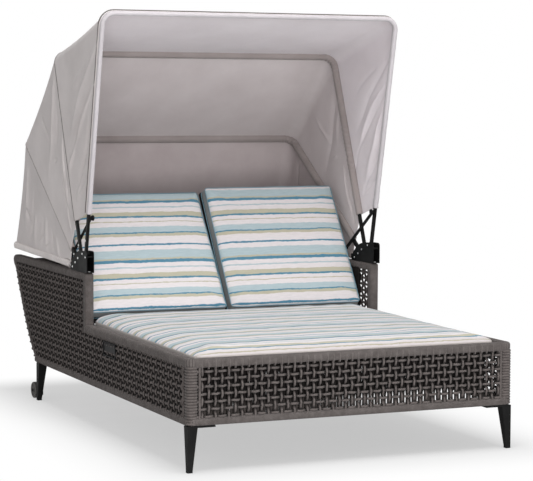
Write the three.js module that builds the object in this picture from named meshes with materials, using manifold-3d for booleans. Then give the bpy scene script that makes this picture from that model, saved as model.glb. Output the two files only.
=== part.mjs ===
// Outdoor double daybed with a folding fabric canopy, in millimetres, +Z up.
// Sizes are laid out from the front face (y = 0) to the rear, with x = 0 on the centre line and z = 0
// on the ground. The finished group is shifted so that its origin is under the middle of the object.
import * as THREE from 'three';
import { mergeVertices } from 'three/addons/utils/BufferGeometryUtils.js';
import Module from 'manifold-3d';

const wasm = await Module();
wasm.setup();

// Overall sizes of the rope-wound base
const overall_width = 1400;
const base_length = 1925;
const base_bottom = 175;
const rim_top = 428;
const arm_front = 1182;
const arm_top = 650;
const rear_reach = 2276;
const rear_knee = 622;
const rear_lean_y = 150;
const rear_lean_z = 92;
const arm_corner = 51;
const post_corner = 10;
const panel_depth = 40;
const panel_edge = 4;
const rim_height = 35;
const foot_rail = 30;
const end_stile = 50;
const side_stile = 14;
const arm_post = 42;
const seat_gap = 0.3;

// Woven infill, drawn as a flat net with a wide pitch
const rope = 10;
const net_inset = 6;
const net_pitch = 128;
const net_rise = 90;
const arm_net_rise = 136;

// Front stiffeners behind the weave
const stiffener_width = 30;
const stiffener_depth = 10;
const stiffener_x = 335;

// Legs
const leg_top = 40;
const leg_foot = 20;
const leg_inset = 5;
const leg_plate = 4;
const leg_plate_length = 112;
const glide_height = 8;
const bolt_head = 12;
const bolt_head_height = 5;
const bolt_spacing = 35;
const rear_leg_inset = 33;

// Transport wheels behind the rear legs
const wheel_radius = 37.5;
const wheel_width = 18;
const wheel_hub_radius = 11;
const wheel_web = 8;
const wheel_rim = 9;
const wheel_bore = 4.5;
const wheel_floor_gap = 1.5;
const wheel_behind_leg = 74;
const wheel_fork = 4;
const wheel_side_gap = 1;
const axle_radius = 4;
const axle_cap = 7;
const axle_cap_height = 3;
const fork_height = 26;

// Seat deck
const deck_tube = 25;
const deck_top = 391;
const deck_rear_gap = 35;
const batten_width = 52;
const batten_height = 20.5;
const batten_count = 9;
const batten_first = 78;

// Reclining backs
const back_pivot_y = 1286;
const back_pivot_z = 402;
const right_back_angle = 57.5;
const left_back_angle = 53.5;
const back_tube = 20;
const back_length = 655;
const back_side_gap = 4;
const back_outer_gap = 16;
const back_foot_tube = 35;
const back_batten = 30;
const back_batten_depth = 10;
const back_batten_count = 4;
const back_batten_recess = 1.5;
const hinge_pin = 8;
const hinge_clearance = 0.3;
const hinge_plate = 5;
const hinge_pin_end = 1;
const back_rail_recess = 1;

// Lockable gas springs under the backs
const spring_reach = 160;
const spring_drop = 12;
const spring_foot_y = 1340;
const spring_foot_z = 240;
const spring_x = 330;
const spring_tube = 22;
const spring_tube_start = 14;
const spring_tube_end = 145;
const spring_rod = 8;
const spring_rod_start = 134;
const spring_bore_start = 22;
const spring_bore_clearance = 0.5;
const spring_eye = 20;
const spring_eye_width = 8;
const spring_bar = 25;
const spring_lug = 5;
const valve_head = 16;
const valve_length = 12;
const valve_offset = 30;

// Release handles on the low side panels
const handle_front = 806;
const handle_length = 151;
const handle_rear = handle_front + handle_length;
const handle_height = 60;
const handle_drop = 6;
const bezel_depth = 30;
const bezel_wall = 5;
const bezel_lip = 3;
const paddle_height = 34;
const paddle_thick = 5;
const paddle_gap = 1.2;
const paddle_pin = 5;

// Cushions
const seat_front = 46;
const seat_rear = 1248;
const seat_bottom = 412;
const seat_thick = 50;
const seat_side_gap = 8;
const back_cushion_start = 40;
const back_cushion_end = 662;
const back_cushion_thick = 52;
const cushion_crown = 9;
const cushion_corner = 42;
const cushion_edge = 17;
const cushion_draw = 5;
const cushion_middle_gap = 5;
const cushion_outer_gap = 11;

// Canopy bows and their staggered pivots, from front to rear
const bow_depth = 20;
const bow_width = 12;
const bow_edge = 2;
const bow_inset = 18;
const bow_x = overall_width / 2 - bow_inset;
const bow_corner = 52;
const bow_pin = 8;
const bow_clearance = 0.3;
const bows = {
  front: { pivot_y: 1227, pivot_z: 729, angle: 102.5, length: 1040, sleeve: 178 },
  second: { pivot_y: 1286, pivot_z: 706, angle: 68, length: 952, sleeve: 168 },
  third: { pivot_y: 1323, pivot_z: 685, angle: 33, length: 934, sleeve: 96 },
  rear: { pivot_y: 1360, pivot_z: 664, angle: 3.2, length: 910, sleeve: 62 },
};
const bow_screw_reach = 58;
const bow_screw = 4;
const bow_screw_height = 1.6;

// Canopy brackets on the arms
const bracket_front = 1172;
const bracket_rear = 1392;
const bracket_high = 742;
const bracket_low = 662;
const bracket_plate = 3;
const bracket_inner_gap = 9;
const bracket_outer_gap = 7;
const bracket_inner = bow_x - bow_width / 2 - bracket_inner_gap - bracket_plate;
const bracket_outer = bow_x + bow_width / 2 + bracket_outer_gap + bracket_plate;
const bracket_corner = 16;
const rivet_head = 5;
const rivet_height = 1.6;
const collar = 8;
const collar_gap = 0.5;
const spacer_y = 1186;
const spacer_z = 717;
const base_screw = 5;

// Stays that hold the canopy open
const stay_reach_front = 158;
const stay_reach_rear = 142;
const stay_width = 16;
const stay_thick = 4;
const stay_spacer = 2.7;
const stay_spacer_radius = 7;
const stay_gap = 0.3;
const stay_pin = 6;
const knob_radius = 12;
const knob_length = 11;
const knob_waist = 8;

// Canopy cloth
const cloth = 2;
const cloth_gap = 0.5;
const sleeve_wrap = 8;
const cloth_sag = 20;
const cloth_fold = 7;
const hem_front_height = 6;
const hem_rear_height = 30;

// Counts of facets
const bend_steps = 5;
const round_steps = 12;
const pin_steps = 8;
const wheel_steps = 18;
const curve_steps = 9;
const bolt_sides = 6;
const leg_bolts = 2;
const rail_steps = 2;
const rear_net_rises = 3;
const cushion_side_steps = 4;
const cushion_corner_steps = 3;

// How far a cut passes its wall or a joined piece reaches into its neighbour, and the weld of like corners
const overrun = 2;
const weld = 1e-4;

const inner_x = overall_width / 2 - panel_depth;
const side_start = panel_depth + seat_gap;
const daybed = new THREE.Group();

// Materials
function finish(color, roughness, metalness) {
  return new THREE.MeshStandardMaterial({ color, roughness, metalness });
}
const rope_finish = () => finish(0x4c4644, 0.85, 0);
const metal_finish = () => finish(0x1f1f20, 0.5, 0.6);
const tube_finish = () => finish(0x3a3838, 0.55, 0.6);
const plastic_finish = () => finish(0x18181a, 0.6, 0);
const steel_finish = () => finish(0xb8b9ba, 0.3, 0.9);
const wheel_finish = () => finish(0x6b6966, 0.8, 0);
const cushion_finish = () => finish(0xcfd3d2, 0.95, 0);
const cloth_finish = () => finish(0xa9a29f, 0.95, 0);

function add(name, geometry, material, parent = daybed) {
  const mesh = new THREE.Mesh(geometry, material);
  mesh.name = name;
  parent.add(mesh);
  return mesh;
}

// Solids for cuts and joins
function solid(geometry) {
  const bare = geometry.clone();
  bare.deleteAttribute('normal');
  bare.deleteAttribute('uv');
  const merged = mergeVertices(bare, weld);
  const mesh = new wasm.Mesh({
    numProp: 3,
    vertProperties: new Float32Array(merged.attributes.position.array),
    triVerts: new Uint32Array(merged.index.array),
  });
  return new wasm.Manifold(mesh);
}

function surface(body) {
  const mesh = body.getMesh();
  const geometry = new THREE.BufferGeometry();
  geometry.setAttribute('position', new THREE.BufferAttribute(new Float32Array(mesh.vertProperties), 3));
  geometry.setIndex(new THREE.BufferAttribute(new Uint32Array(mesh.triVerts), 1));
  geometry.computeVertexNormals();
  return geometry;
}

function join(geometries, cuts = []) {
  let body = solid(geometries[0]);
  for (const geometry of geometries.slice(1)) {
    body = body.add(solid(geometry));
  }
  for (const cut of cuts) {
    body = body.subtract(solid(cut));
  }
  return surface(body);
}

// A box from its low corner to its high corner
function block(x0, x1, y0, y1, z0, z1) {
  const geometry = new THREE.BoxGeometry(x1 - x0, y1 - y0, z1 - z0);
  return geometry.translate((x0 + x1) / 2, (y0 + y1) / 2, (z0 + z1) / 2);
}

// A round bar along X between two x places
function barX(radius, x0, x1, y, z, steps = pin_steps) {
  const geometry = new THREE.CylinderGeometry(radius, radius, x1 - x0, steps);
  return geometry.rotateZ(Math.PI / 2).translate((x0 + x1) / 2, y, z);
}

// A hole along X whose flat facets clear a pin of the given radius
function holeX(radius, x0, x1, y, z) {
  return barX(radius / Math.cos(Math.PI / pin_steps), x0, x1, y, z);
}

function barZ(radius, x, y, z0, z1, steps = pin_steps) {
  const geometry = new THREE.CylinderGeometry(radius, radius, z1 - z0, steps);
  return geometry.rotateX(Math.PI / 2).translate(x, y, (z0 + z1) / 2);
}

// A shape drawn in (y, z) and given a thickness along X from x0 to x1
function plateX(shape, x0, x1, edge = 0) {
  const geometry = new THREE.ExtrudeGeometry(shape, {
    depth: x1 - x0 - 2 * edge,
    bevelEnabled: edge > 0,
    bevelThickness: edge,
    bevelSize: edge,
    bevelOffset: -edge,
    bevelSegments: 1,
    curveSegments: bend_steps,
  });
  const turn = new THREE.Matrix4().set(0, 0, 1, x0 + edge, 1, 0, 0, 0, 0, 1, 0, 0, 0, 0, 0, 1);
  return geometry.applyMatrix4(turn);
}

// A shape drawn in (x, z) and given a thickness along Y from y0 to y1
function plateY(shape, y0, y1, edge = 0) {
  const geometry = new THREE.ExtrudeGeometry(shape, {
    depth: y1 - y0 - 2 * edge,
    bevelEnabled: edge > 0,
    bevelThickness: edge,
    bevelSize: edge,
    bevelOffset: -edge,
    bevelSegments: 1,
    curveSegments: bend_steps,
  });
  const turn = new THREE.Matrix4().set(1, 0, 0, 0, 0, 0, -1, y1 - edge, 0, 1, 0, 0, 0, 0, 0, 1);
  return geometry.applyMatrix4(turn);
}

// Turns the faces of a geometry that was scaled by -1 the right way out
function flipped(geometry) {
  const index = geometry.index ? geometry.index.array : null;
  const count = index ? index.length : geometry.attributes.position.count;
  const order = [];
  for (let i = 0; i < count; i += 3) {
    const corners = index ? [index[i], index[i + 1], index[i + 2]] : [i, i + 1, i + 2];
    order.push(corners[0], corners[2], corners[1]);
  }
  geometry.setIndex(order);
  geometry.computeVertexNormals();
  return geometry;
}

// The same piece on the left side
function mirrored(geometry) {
  return flipped(geometry.clone().scale(-1, 1, 1));
}

// The same piece turned front to rear
function reversed(geometry) {
  return flipped(geometry.clone().scale(1, -1, 1));
}

function rectangle(a0, a1, b0, b1) {
  const shape = new THREE.Shape();
  shape.moveTo(a0, b0);
  shape.lineTo(a1, b0);
  shape.lineTo(a1, b1);
  shape.lineTo(a0, b1);
  shape.closePath();
  return shape;
}

// The leaning rear edge of the base, as a curve in (y, z) from the ground side to the arm
const rear_edge = new THREE.QuadraticBezierCurve(
  new THREE.Vector2(base_length, base_bottom),
  new THREE.Vector2(base_length + rear_lean_y, base_bottom + rear_lean_z),
  new THREE.Vector2(rear_reach, rear_knee),
);

function rearPoint(share, inset) {
  const point = rear_edge.getPoint(share);
  const tangent = rear_edge.getTangent(share);
  return new THREE.Vector2(point.x - tangent.y * inset, point.y + tangent.x * inset);
}

// Points along the rear edge, moved inwards by an inset, between two heights
function rearPoints(inset, low, high) {
  const points = [];
  const fine_steps = 120;
  let before = rearPoint(0, inset);
  for (let i = 1; i <= fine_steps; i += 1) {
    const next = rearPoint(i / fine_steps, inset);
    if (before.y < low && next.y >= low) {
      points.push(before.clone().lerp(next, (low - before.y) / (next.y - before.y)));
    }
    const keep = i % Math.round(fine_steps / curve_steps) === 0 || i === fine_steps;
    if (keep && next.y > low + post_corner && next.y < high - post_corner) {
      points.push(next);
    }
    if (before.y < high && next.y >= high) {
      points.push(before.clone().lerp(next, (high - before.y) / (next.y - before.y)));
    }
    before = next;
  }
  if (before.y < high) {
    const slope = rear_edge.getTangent(1);
    points.push(before.clone().addScaledVector(slope, (high - before.y) / slope.y));
  }
  return points;
}

// The band between two insets of the rear edge, from one share of its length to another
function rearBand(share0, share1, inset0, inset1, steps = curve_steps) {
  const shape = new THREE.Shape();
  const outer = [];
  const inner = [];
  for (let i = 0; i <= steps; i += 1) {
    const share = share0 + (share1 - share0) * (i / steps);
    outer.push(rearPoint(share, inset0));
    inner.unshift(rearPoint(share, inset1));
  }
  shape.setFromPoints([...outer, ...inner]);
  return shape;
}

const rear_slope = rear_edge.getTangent(1);
const knee_y = rear_reach + ((arm_top - rear_knee) * rear_slope.x) / rear_slope.y;

// Side of the base: one outline for the low rim, the arm and the leaning rear, with two windows
function sideOutline() {
  const shape = new THREE.Shape();
  shape.moveTo(side_start, base_bottom);
  shape.lineTo(base_length, base_bottom);
  shape.quadraticCurveTo(
    base_length + rear_lean_y,
    base_bottom + rear_lean_z,
    rear_reach,
    rear_knee,
  );
  shape.quadraticCurveTo(knee_y, arm_top, knee_y - arm_corner, arm_top);
  shape.lineTo(arm_front + post_corner, arm_top);
  shape.quadraticCurveTo(arm_front, arm_top, arm_front, arm_top - post_corner);
  shape.lineTo(arm_front, rim_top);
  shape.lineTo(side_start, rim_top);
  shape.closePath();
  return shape;
}

function lowWindow(inset) {
  return rectangle(
    side_start + side_stile + inset,
    arm_front - inset,
    base_bottom + foot_rail + inset,
    rim_top - rim_height - inset,
  );
}

function armWindow(inset) {
  const low = base_bottom + foot_rail + inset;
  const high = arm_top - rim_height - inset;
  const shape = new THREE.Shape();
  shape.moveTo(arm_front + arm_post + inset, low);
  for (const point of rearPoints(rim_height + inset, low, high)) {
    shape.lineTo(point.x, point.y);
  }
  shape.lineTo(arm_front + arm_post + inset, high);
  shape.closePath();
  return shape;
}

function sideFrame() {
  const outer = overall_width / 2;
  const windows = [lowWindow(0), armWindow(0)];
  const cuts = windows.map((shape) => plateX(shape, inner_x - overrun, outer + overrun));
  return join([plateX(sideOutline(), inner_x, outer, panel_edge)], cuts);
}

function frontWindow(inset) {
  const half = overall_width / 2 - end_stile - inset;
  return rectangle(-half, half, base_bottom + foot_rail + inset, rim_top - rim_height - inset);
}

function frontFrame() {
  const shape = rectangle(-overall_width / 2, overall_width / 2, base_bottom, rim_top);
  const frame = plateY(shape, 0, panel_depth, panel_edge);
  const cut = plateY(frontWindow(0), -overrun, panel_depth + overrun);
  const bands = [-1, 1].map((side) =>
    block(
      side * stiffener_x - stiffener_width / 2,
      side * stiffener_x + stiffener_width / 2,
      panel_depth - stiffener_depth - panel_edge,
      panel_depth - panel_edge,
      base_bottom + foot_rail / 2,
      rim_top - rim_height / 2,
    ),
  );
  return join([join([frame], [cut]), ...bands]);
}

// Rear of the base: follows the lean of the sides and fits between them
const rear_half = inner_x - seat_gap;
const rear_rail_share = 0.1;
const rear_top_share = 0.93;

function rearFrame() {
  const full = rearBand(0, 1, 0, panel_depth);
  const low = rearBand(0, rear_rail_share, 0, panel_depth, rail_steps);
  const high = rearBand(rear_top_share, 1, 0, panel_depth, rail_steps);
  const stile = rim_height;
  return join([
    plateX(low, -rear_half, rear_half),
    plateX(high, -rear_half, rear_half),
    plateX(full, -rear_half, -rear_half + stile),
    plateX(full, rear_half - stile, rear_half),
  ]);
}

// A flat net: the window's outline less the gaps between its strands
function net(plate, outer, inner, a0, a1, b0, b1, w0, w1, row) {
  const columns = Math.max(1, Math.round((a1 - a0) / net_pitch));
  const rows = Math.max(1, Math.round((b1 - b0) / row));
  const step_a = (a1 - a0 - rope) / columns;
  const step_b = (b1 - b0 - rope) / rows;
  let gaps = null;
  for (let i = 0; i < columns; i += 1) {
    for (let j = 0; j < rows; j += 1) {
      const a = a0 + rope + i * step_a;
      const b = b0 + rope + j * step_b;
      const cell = solid(plate(rectangle(a, a + step_a - rope, b, b + step_b - rope), w0 - overrun, w1 + overrun));
      gaps = gaps ? gaps.add(cell) : cell;
    }
  }
  const open = gaps.intersect(solid(plate(inner, w0 - 2 * overrun, w1 + 2 * overrun)));
  return surface(solid(plate(outer, w0, w1)).subtract(open));
}

const net_out = overall_width / 2 - net_inset;

function handleSpace(gap) {
  return block(
    inner_x - overrun,
    overall_width / 2 + overrun,
    handle_front - gap,
    handle_rear + gap,
    rim_top - rim_height - handle_drop - handle_height - gap,
    rim_top - rim_height - handle_drop + gap,
  );
}

function lowNet() {
  const low = base_bottom + foot_rail + seat_gap;
  const high = rim_top - rim_height - seat_gap;
  const start = side_start + side_stile + seat_gap;
  const end = arm_front - seat_gap;
  const outer = lowWindow(seat_gap);
  const inner = lowWindow(seat_gap + rope);
  const flat = net(plateX, outer, inner, start, end, low, high, net_out - rope, net_out, net_rise);
  const border = join([flat, handleBorder()], [handleSpace(seat_gap)]);
  return border;
}

// Strands that run round the handle's opening in the weave
function handleBorder() {
  return block(
    net_out - rope,
    net_out,
    handle_front - rope,
    handle_rear + rope,
    rim_top - rim_height - handle_drop - handle_height - rope,
    rim_top - rim_height - seat_gap,
  );
}

function armNet() {
  const low = base_bottom + foot_rail + seat_gap;
  const high = arm_top - rim_height - seat_gap;
  const start = arm_front + arm_post + seat_gap;
  const outer = armWindow(seat_gap);
  const inner = armWindow(seat_gap + rope);
  const end = rear_reach;
  return net(plateX, outer, inner, start, end, low, high, net_out - rope, net_out, arm_net_rise);
}

function frontNet() {
  const half = overall_width / 2 - end_stile - seat_gap;
  const low = base_bottom + foot_rail + seat_gap;
  const high = rim_top - rim_height - seat_gap;
  const outer = frontWindow(seat_gap);
  const inner = frontWindow(seat_gap + rope);
  return net(plateY, outer, inner, -half, half, low, high, net_inset, net_inset + rope, net_rise);
}

// The curved net of the rear, made from bands of the rear edge
function rearNet() {
  const half = rear_half - rim_height - seat_gap;
  const length = rear_edge.getLength();
  const gap_share = seat_gap / length;
  const rope_share = rope / length;
  const share0 = rear_rail_share + gap_share;
  const share1 = rear_top_share - gap_share;
  const columns = Math.round((2 * half) / net_pitch);
  const rows = rear_net_rises;
  const step_x = (2 * half - rope) / columns;
  const step_share = (share1 - share0 - rope_share) / rows;
  let body = solid(plateX(rearBand(share0, share1, net_inset, net_inset + rope, 2 * rows), -half, half));
  for (let j = 0; j < rows; j += 1) {
    const from = share0 + rope_share + j * step_share;
    const to = from + step_share - rope_share;
    const shape = rearBand(from, to, net_inset - overrun, net_inset + rope + overrun, 1);
    for (let i = 0; i < columns; i += 1) {
      const x = -half + rope + i * step_x;
      body = body.subtract(solid(plateX(shape, x, x + step_x - rope)));
    }
  }
  return surface(body);
}

// Tapered leg with its bolted top plate; the outer faces stay upright and the inner ones taper
function legSolid() {
  const top = base_bottom - seat_gap - leg_plate;
  const height = top - glide_height - seat_gap;
  const post = new THREE.BoxGeometry(leg_top, leg_top, height);
  const place = post.attributes.position;
  for (let i = 0; i < place.count; i += 1) {
    if (place.getZ(i) < 0) {
      const inward_x = place.getX(i) < 0 ? leg_top - leg_foot : 0;
      const inward_y = place.getY(i) > 0 ? leg_top - leg_foot : 0;
      place.setX(i, place.getX(i) + inward_x);
      place.setY(i, place.getY(i) - inward_y);
    }
  }
  post.translate(0, 0, top - height / 2);
  const plate = block(
    leg_top / 2 - leg_plate_length,
    leg_top / 2,
    -leg_top / 2,
    leg_top / 2,
    top - overrun,
    top + leg_plate,
  );
  const bolts = [];
  for (let i = 1; i <= leg_bolts; i += 1) {
    const x = -leg_top / 2 - i * bolt_spacing + bolt_head;
    bolts.push(barZ(bolt_head / 2, x, 0, top - bolt_head_height, top, bolt_sides));
  }
  return [post, plate, ...bolts];
}

// Arm welded to a rear leg, with the wheel's axle and its cap
function wheelArm() {
  const wheel_z = wheel_radius + wheel_floor_gap;
  const shape = new THREE.Shape();
  shape.moveTo(-leg_top / 4, wheel_z - fork_height / 2);
  shape.lineTo(wheel_behind_leg, wheel_z - fork_height / 2);
  shape.absarc(wheel_behind_leg, wheel_z, fork_height / 2, -Math.PI / 2, Math.PI / 2, false);
  shape.lineTo(-leg_top / 4, wheel_z + fork_height);
  shape.closePath();
  const wheel_outer = leg_top / 2;
  const wheel_inner = wheel_outer - wheel_width;
  const arm = plateX(shape, wheel_inner - wheel_side_gap - wheel_fork, wheel_inner - wheel_side_gap);
  const cap_start = wheel_outer + wheel_side_gap;
  const cap_end = cap_start + axle_cap_height;
  const axle_end = cap_start + axle_cap_height / 2;
  const axle = barX(axle_radius, wheel_inner - wheel_fork, axle_end, wheel_behind_leg, wheel_z);
  const cap = barX(axle_cap, cap_start, cap_end, wheel_behind_leg, wheel_z);
  return [arm, axle, cap];
}

function glide() {
  const half = leg_foot / 2;
  const x = leg_top / 2 - half;
  const y = -leg_top / 2 + half;
  return block(x - half, x + half, y - half, y + half, 0, glide_height);
}

function wheel() {
  const w = wheel_width / 2;
  const web = wheel_web / 2;
  const profile = [
    [wheel_bore, -w],
    [wheel_hub_radius, -w],
    [wheel_hub_radius, -web],
    [wheel_radius - wheel_rim, -web],
    [wheel_radius - wheel_rim, -w],
    [wheel_radius - wheel_side_gap, -w],
    [wheel_radius, -w + wheel_side_gap],
    [wheel_radius, w - wheel_side_gap],
    [wheel_radius - wheel_side_gap, w],
    [wheel_radius - wheel_rim, w],
    [wheel_radius - wheel_rim, web],
    [wheel_hub_radius, web],
    [wheel_hub_radius, w],
    [wheel_bore, w],
    [wheel_bore, -w],
  ];
  const points = profile.map((place) => new THREE.Vector2(place[0], place[1]));
  return new THREE.LatheGeometry(points, wheel_steps).rotateZ(Math.PI / 2);
}

// Deck under the cushions: tube frame, battens across the seat and the hinge plates of the backs
function hingePlates() {
  const plates = [];
  for (const side of [-1, 1]) {
    for (const x of hinge_places) {
      const shape = new THREE.Shape();
      const half = back_tube / 2;
      shape.moveTo(back_pivot_y - half, deck_top - deck_tube / 2);
      shape.lineTo(back_pivot_y + half, deck_top - deck_tube / 2);
      shape.lineTo(back_pivot_y + half, back_pivot_z);
      shape.absarc(back_pivot_y, back_pivot_z, half, 0, Math.PI, false);
      shape.closePath();
      plates.push(plateX(shape, side * x - hinge_plate / 2, side * x + hinge_plate / 2));
    }
  }
  return plates;
}

const back_inner_x = back_side_gap;
const back_outer_x = inner_x - back_outer_gap;
const hinge_offset = back_tube + hinge_clearance + hinge_plate / 2;
const hinge_places = [back_inner_x + hinge_offset, back_outer_x - hinge_offset];

function hingePins() {
  const pins = [];
  for (const side of [-1, 1]) {
    const reach = back_tube + hinge_clearance + hinge_pin_end;
    pins.push([side * hinge_places[0], side * (hinge_places[0] - reach)]);
    pins.push([side * hinge_places[1], side * (hinge_places[1] + reach)]);
  }
  return pins.map((ends) =>
    barX(hinge_pin / 2, Math.min(...ends), Math.max(...ends), back_pivot_y, back_pivot_z),
  );
}

function seatDeck() {
  const half = inner_x - seat_gap;
  const low = deck_top - deck_tube;
  const deck_rear = rearPoints(panel_depth, low, deck_top)[0].x - deck_rear_gap;
  const parts = [
    block(-half, -half + deck_tube, side_start, deck_rear, low, deck_top),
    block(half - deck_tube, half, side_start, deck_rear, low, deck_top),
    block(-half, half, side_start, side_start + deck_tube, low, deck_top),
    block(-half, half, deck_rear - deck_tube, deck_rear, low, deck_top),
    block(-half, half, back_pivot_y - deck_tube / 2, back_pivot_y + deck_tube / 2, low, deck_top - hinge_clearance),
    block(-deck_tube / 2, deck_tube / 2, side_start, back_pivot_y, low, deck_top),
  ];
  const pitch = (seat_rear - batten_width - batten_first) / (batten_count - 1);
  for (let i = 0; i < batten_count; i += 1) {
    const y = batten_first + i * pitch;
    const reach = half - deck_tube / 2;
    parts.push(block(-reach, reach, y, y + batten_width, deck_top - overrun, deck_top + batten_height));
  }
  return join([...parts, ...hingePlates(), ...hingePins()]);
}

// Tie bar low in the base that carries the feet of the two gas springs
function springBar() {
  const half = inner_x - seat_gap;
  const top = base_bottom + foot_rail;
  const parts = [
    block(-half, half, spring_foot_y - spring_bar / 2, spring_foot_y + spring_bar / 2, top - spring_bar, top),
  ];
  for (const side of [-1, 1]) {
    const shape = new THREE.Shape();
    const r = spring_eye / 2;
    shape.moveTo(spring_foot_y - r, top - overrun);
    shape.lineTo(spring_foot_y + r, top - overrun);
    shape.lineTo(spring_foot_y + r, spring_foot_z);
    shape.absarc(spring_foot_y, spring_foot_z, r, 0, Math.PI, false);
    shape.closePath();
    const near = spring_eye_width / 2 + hinge_clearance;
    const x = side * spring_x;
    parts.push(plateX(shape, x - near - spring_lug, x - near));
    parts.push(plateX(shape, x + near, x + near + spring_lug));
    parts.push(barX(hinge_pin / 2, x - near - overrun, x + near + overrun, spring_foot_y, spring_foot_z));
  }
  return join(parts);
}

// Back frame in its own plane: y along the back from the pivot, z out of its face, x across
function backFrame() {
  const r = back_tube / 2;
  const inner = back_inner_x;
  const outer = back_outer_x;
  const rail = r - back_rail_recess;
  const head = back_length - back_rail_recess;
  const parts = [
    block(inner, inner + back_tube, overrun, back_length, -r, r),
    block(outer - back_tube, outer, overrun, back_length, -r, r),
    barX(r, inner, inner + back_tube, 0, 0, wheel_steps),
    barX(r, outer - back_tube, outer, 0, 0, wheel_steps),
    block(inner + r, outer - r, back_foot_tube, back_foot_tube + back_tube, -rail, rail),
    block(inner + r, outer - r, head - back_tube, head, -rail, rail),
  ];
  const first = spring_reach + spring_eye + back_tube;
  const pitch = (back_length - back_tube - first) / back_batten_count;
  for (let i = 0; i < back_batten_count; i += 1) {
    const y = first + i * pitch;
    const high = r - back_batten_recess;
    const reach = back_tube / 2;
    parts.push(block(inner + reach, outer - reach, y, y + back_batten, high - back_batten_depth, high));
  }
  const lug_x = spring_x + spring_eye_width / 2 + hinge_clearance;
  parts.push(block(lug_x, lug_x + spring_lug, spring_reach - r, first + overrun, -spring_drop - r, r / 2));
  const holes = [
    holeX(hinge_pin / 2 + hinge_clearance, inner - overrun, inner + back_tube + overrun, 0, 0),
    holeX(hinge_pin / 2 + hinge_clearance, outer - back_tube - overrun, outer + overrun, 0, 0),
  ];
  return join(parts, holes);
}

// Gas spring lying along y from its foot pivot
function springCylinder() {
  const body = new THREE.CylinderGeometry(
    spring_tube / 2,
    spring_tube / 2,
    spring_tube_end - spring_tube_start,
    round_steps,
  );
  body.translate(0, (spring_tube_start + spring_tube_end) / 2, 0);
  const eye = barX(spring_eye / 2, -spring_eye_width / 2, spring_eye_width / 2, 0, 0);
  const neck = block(
    -spring_eye_width / 2,
    spring_eye_width / 2,
    hinge_pin,
    spring_tube_start + overrun,
    -hinge_pin / 2,
    hinge_pin / 2,
  );
  const bore = new THREE.CylinderGeometry(
    spring_rod / 2 + spring_bore_clearance,
    spring_rod / 2 + spring_bore_clearance,
    spring_tube_end - spring_bore_start + overrun,
    round_steps,
  );
  bore.translate(0, (spring_tube_end + spring_bore_start + overrun) / 2, 0);
  const hole = holeX(hinge_pin / 2 + hinge_clearance, -spring_eye_width, spring_eye_width, 0, 0);
  return join([body, eye, neck], [bore, hole]);
}

function springRod(length) {
  const rod = new THREE.CylinderGeometry(spring_rod / 2, spring_rod / 2, length - spring_rod_start, round_steps);
  rod.translate(0, (length + spring_rod_start) / 2, 0);
  const head_start = length - valve_offset - valve_length / 2;
  const head = block(
    -spring_eye_width / 2,
    spring_eye_width / 2,
    head_start,
    head_start + valve_length,
    -valve_head / 2,
    valve_head / 2,
  );
  const eye = barX(spring_eye / 2, -spring_eye_width / 2, spring_eye_width / 2, length, 0);
  return join([rod, head, eye]);
}

// Release handle: bezel set in the weave and the paddle that hinges in it
function bezel() {
  const high = rim_top - rim_height - handle_drop;
  const low = high - handle_height;
  const out = overall_width / 2;
  const box = block(out - bezel_depth, out, handle_front, handle_rear, low, high);
  const pocket = block(
    out - bezel_depth + bezel_wall,
    out + overrun,
    handle_front + bezel_wall,
    handle_rear - bezel_wall,
    low + bezel_wall,
    high - bezel_wall,
  );
  const pin_x = out - bezel_lip - paddle_pin;
  const pin_z = high - bezel_wall - paddle_pin;
  const hole = new THREE.CylinderGeometry(
    paddle_pin / 2 + hinge_clearance,
    paddle_pin / 2 + hinge_clearance,
    handle_rear - handle_front - bezel_wall,
    round_steps,
  );
  hole.translate(pin_x, (handle_front + handle_rear) / 2, pin_z);
  return join([box], [pocket, hole]);
}

function paddle() {
  const high = rim_top - rim_height - handle_drop - bezel_wall;
  const out = overall_width / 2 - bezel_lip;
  const y0 = handle_front + bezel_wall + paddle_gap;
  const y1 = handle_rear - bezel_wall - paddle_gap;
  const pin_x = out - paddle_pin;
  const pin_z = high - paddle_pin;
  const leaf = block(out - paddle_thick, out, y0, y1, high - paddle_gap - paddle_height, pin_z);
  const barrel_radius = paddle_pin - 2 * hinge_clearance;
  const barrel = new THREE.CylinderGeometry(barrel_radius, barrel_radius, y1 - y0, round_steps);
  barrel.translate(pin_x, (y0 + y1) / 2, pin_z);
  const pin = new THREE.CylinderGeometry(
    paddle_pin / 2,
    paddle_pin / 2,
    y1 - y0 + bezel_wall,
    round_steps,
  );
  pin.translate(pin_x, (y0 + y1) / 2, pin_z);
  return join([leaf, barrel, pin]);
}

// Points round a rectangle with rounded corners, the same number at any inset
function roundedOutline(half_a, half_b, radius) {
  const points = [];
  const signs = [[1, 1], [-1, 1], [-1, -1], [1, -1]];
  for (let c = 0; c < signs.length; c += 1) {
    const centre = [signs[c][0] * (half_a - radius), signs[c][1] * (half_b - radius)];
    for (let i = 0; i <= cushion_corner_steps; i += 1) {
      const angle = (c + i / cushion_corner_steps) * (Math.PI / 2);
      points.push([centre[0] + radius * Math.cos(angle), centre[1] + radius * Math.sin(angle)]);
    }
    const from = points[points.length - 1];
    const next = signs[(c + 1) % signs.length];
    const angle = (c + 1) * (Math.PI / 2);
    const to = [
      next[0] * (half_a - radius) + radius * Math.cos(angle),
      next[1] * (half_b - radius) + radius * Math.sin(angle),
    ];
    for (let i = 1; i < cushion_side_steps; i += 1) {
      const share = i / cushion_side_steps;
      points.push([from[0] + (to[0] - from[0]) * share, from[1] + (to[1] - from[1]) * share]);
    }
  }
  return points;
}

// Boxed cushion: rings from the middle of the underside, round the drawn-in side, to the crown
const cushion_ring_shares = {
  edge: [[1, 0], [0.3, 0.3], [0, 1]],
  crown: [[0.1, 0.45], [0.35, 0.85], [0.7, 1]],
};

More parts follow.
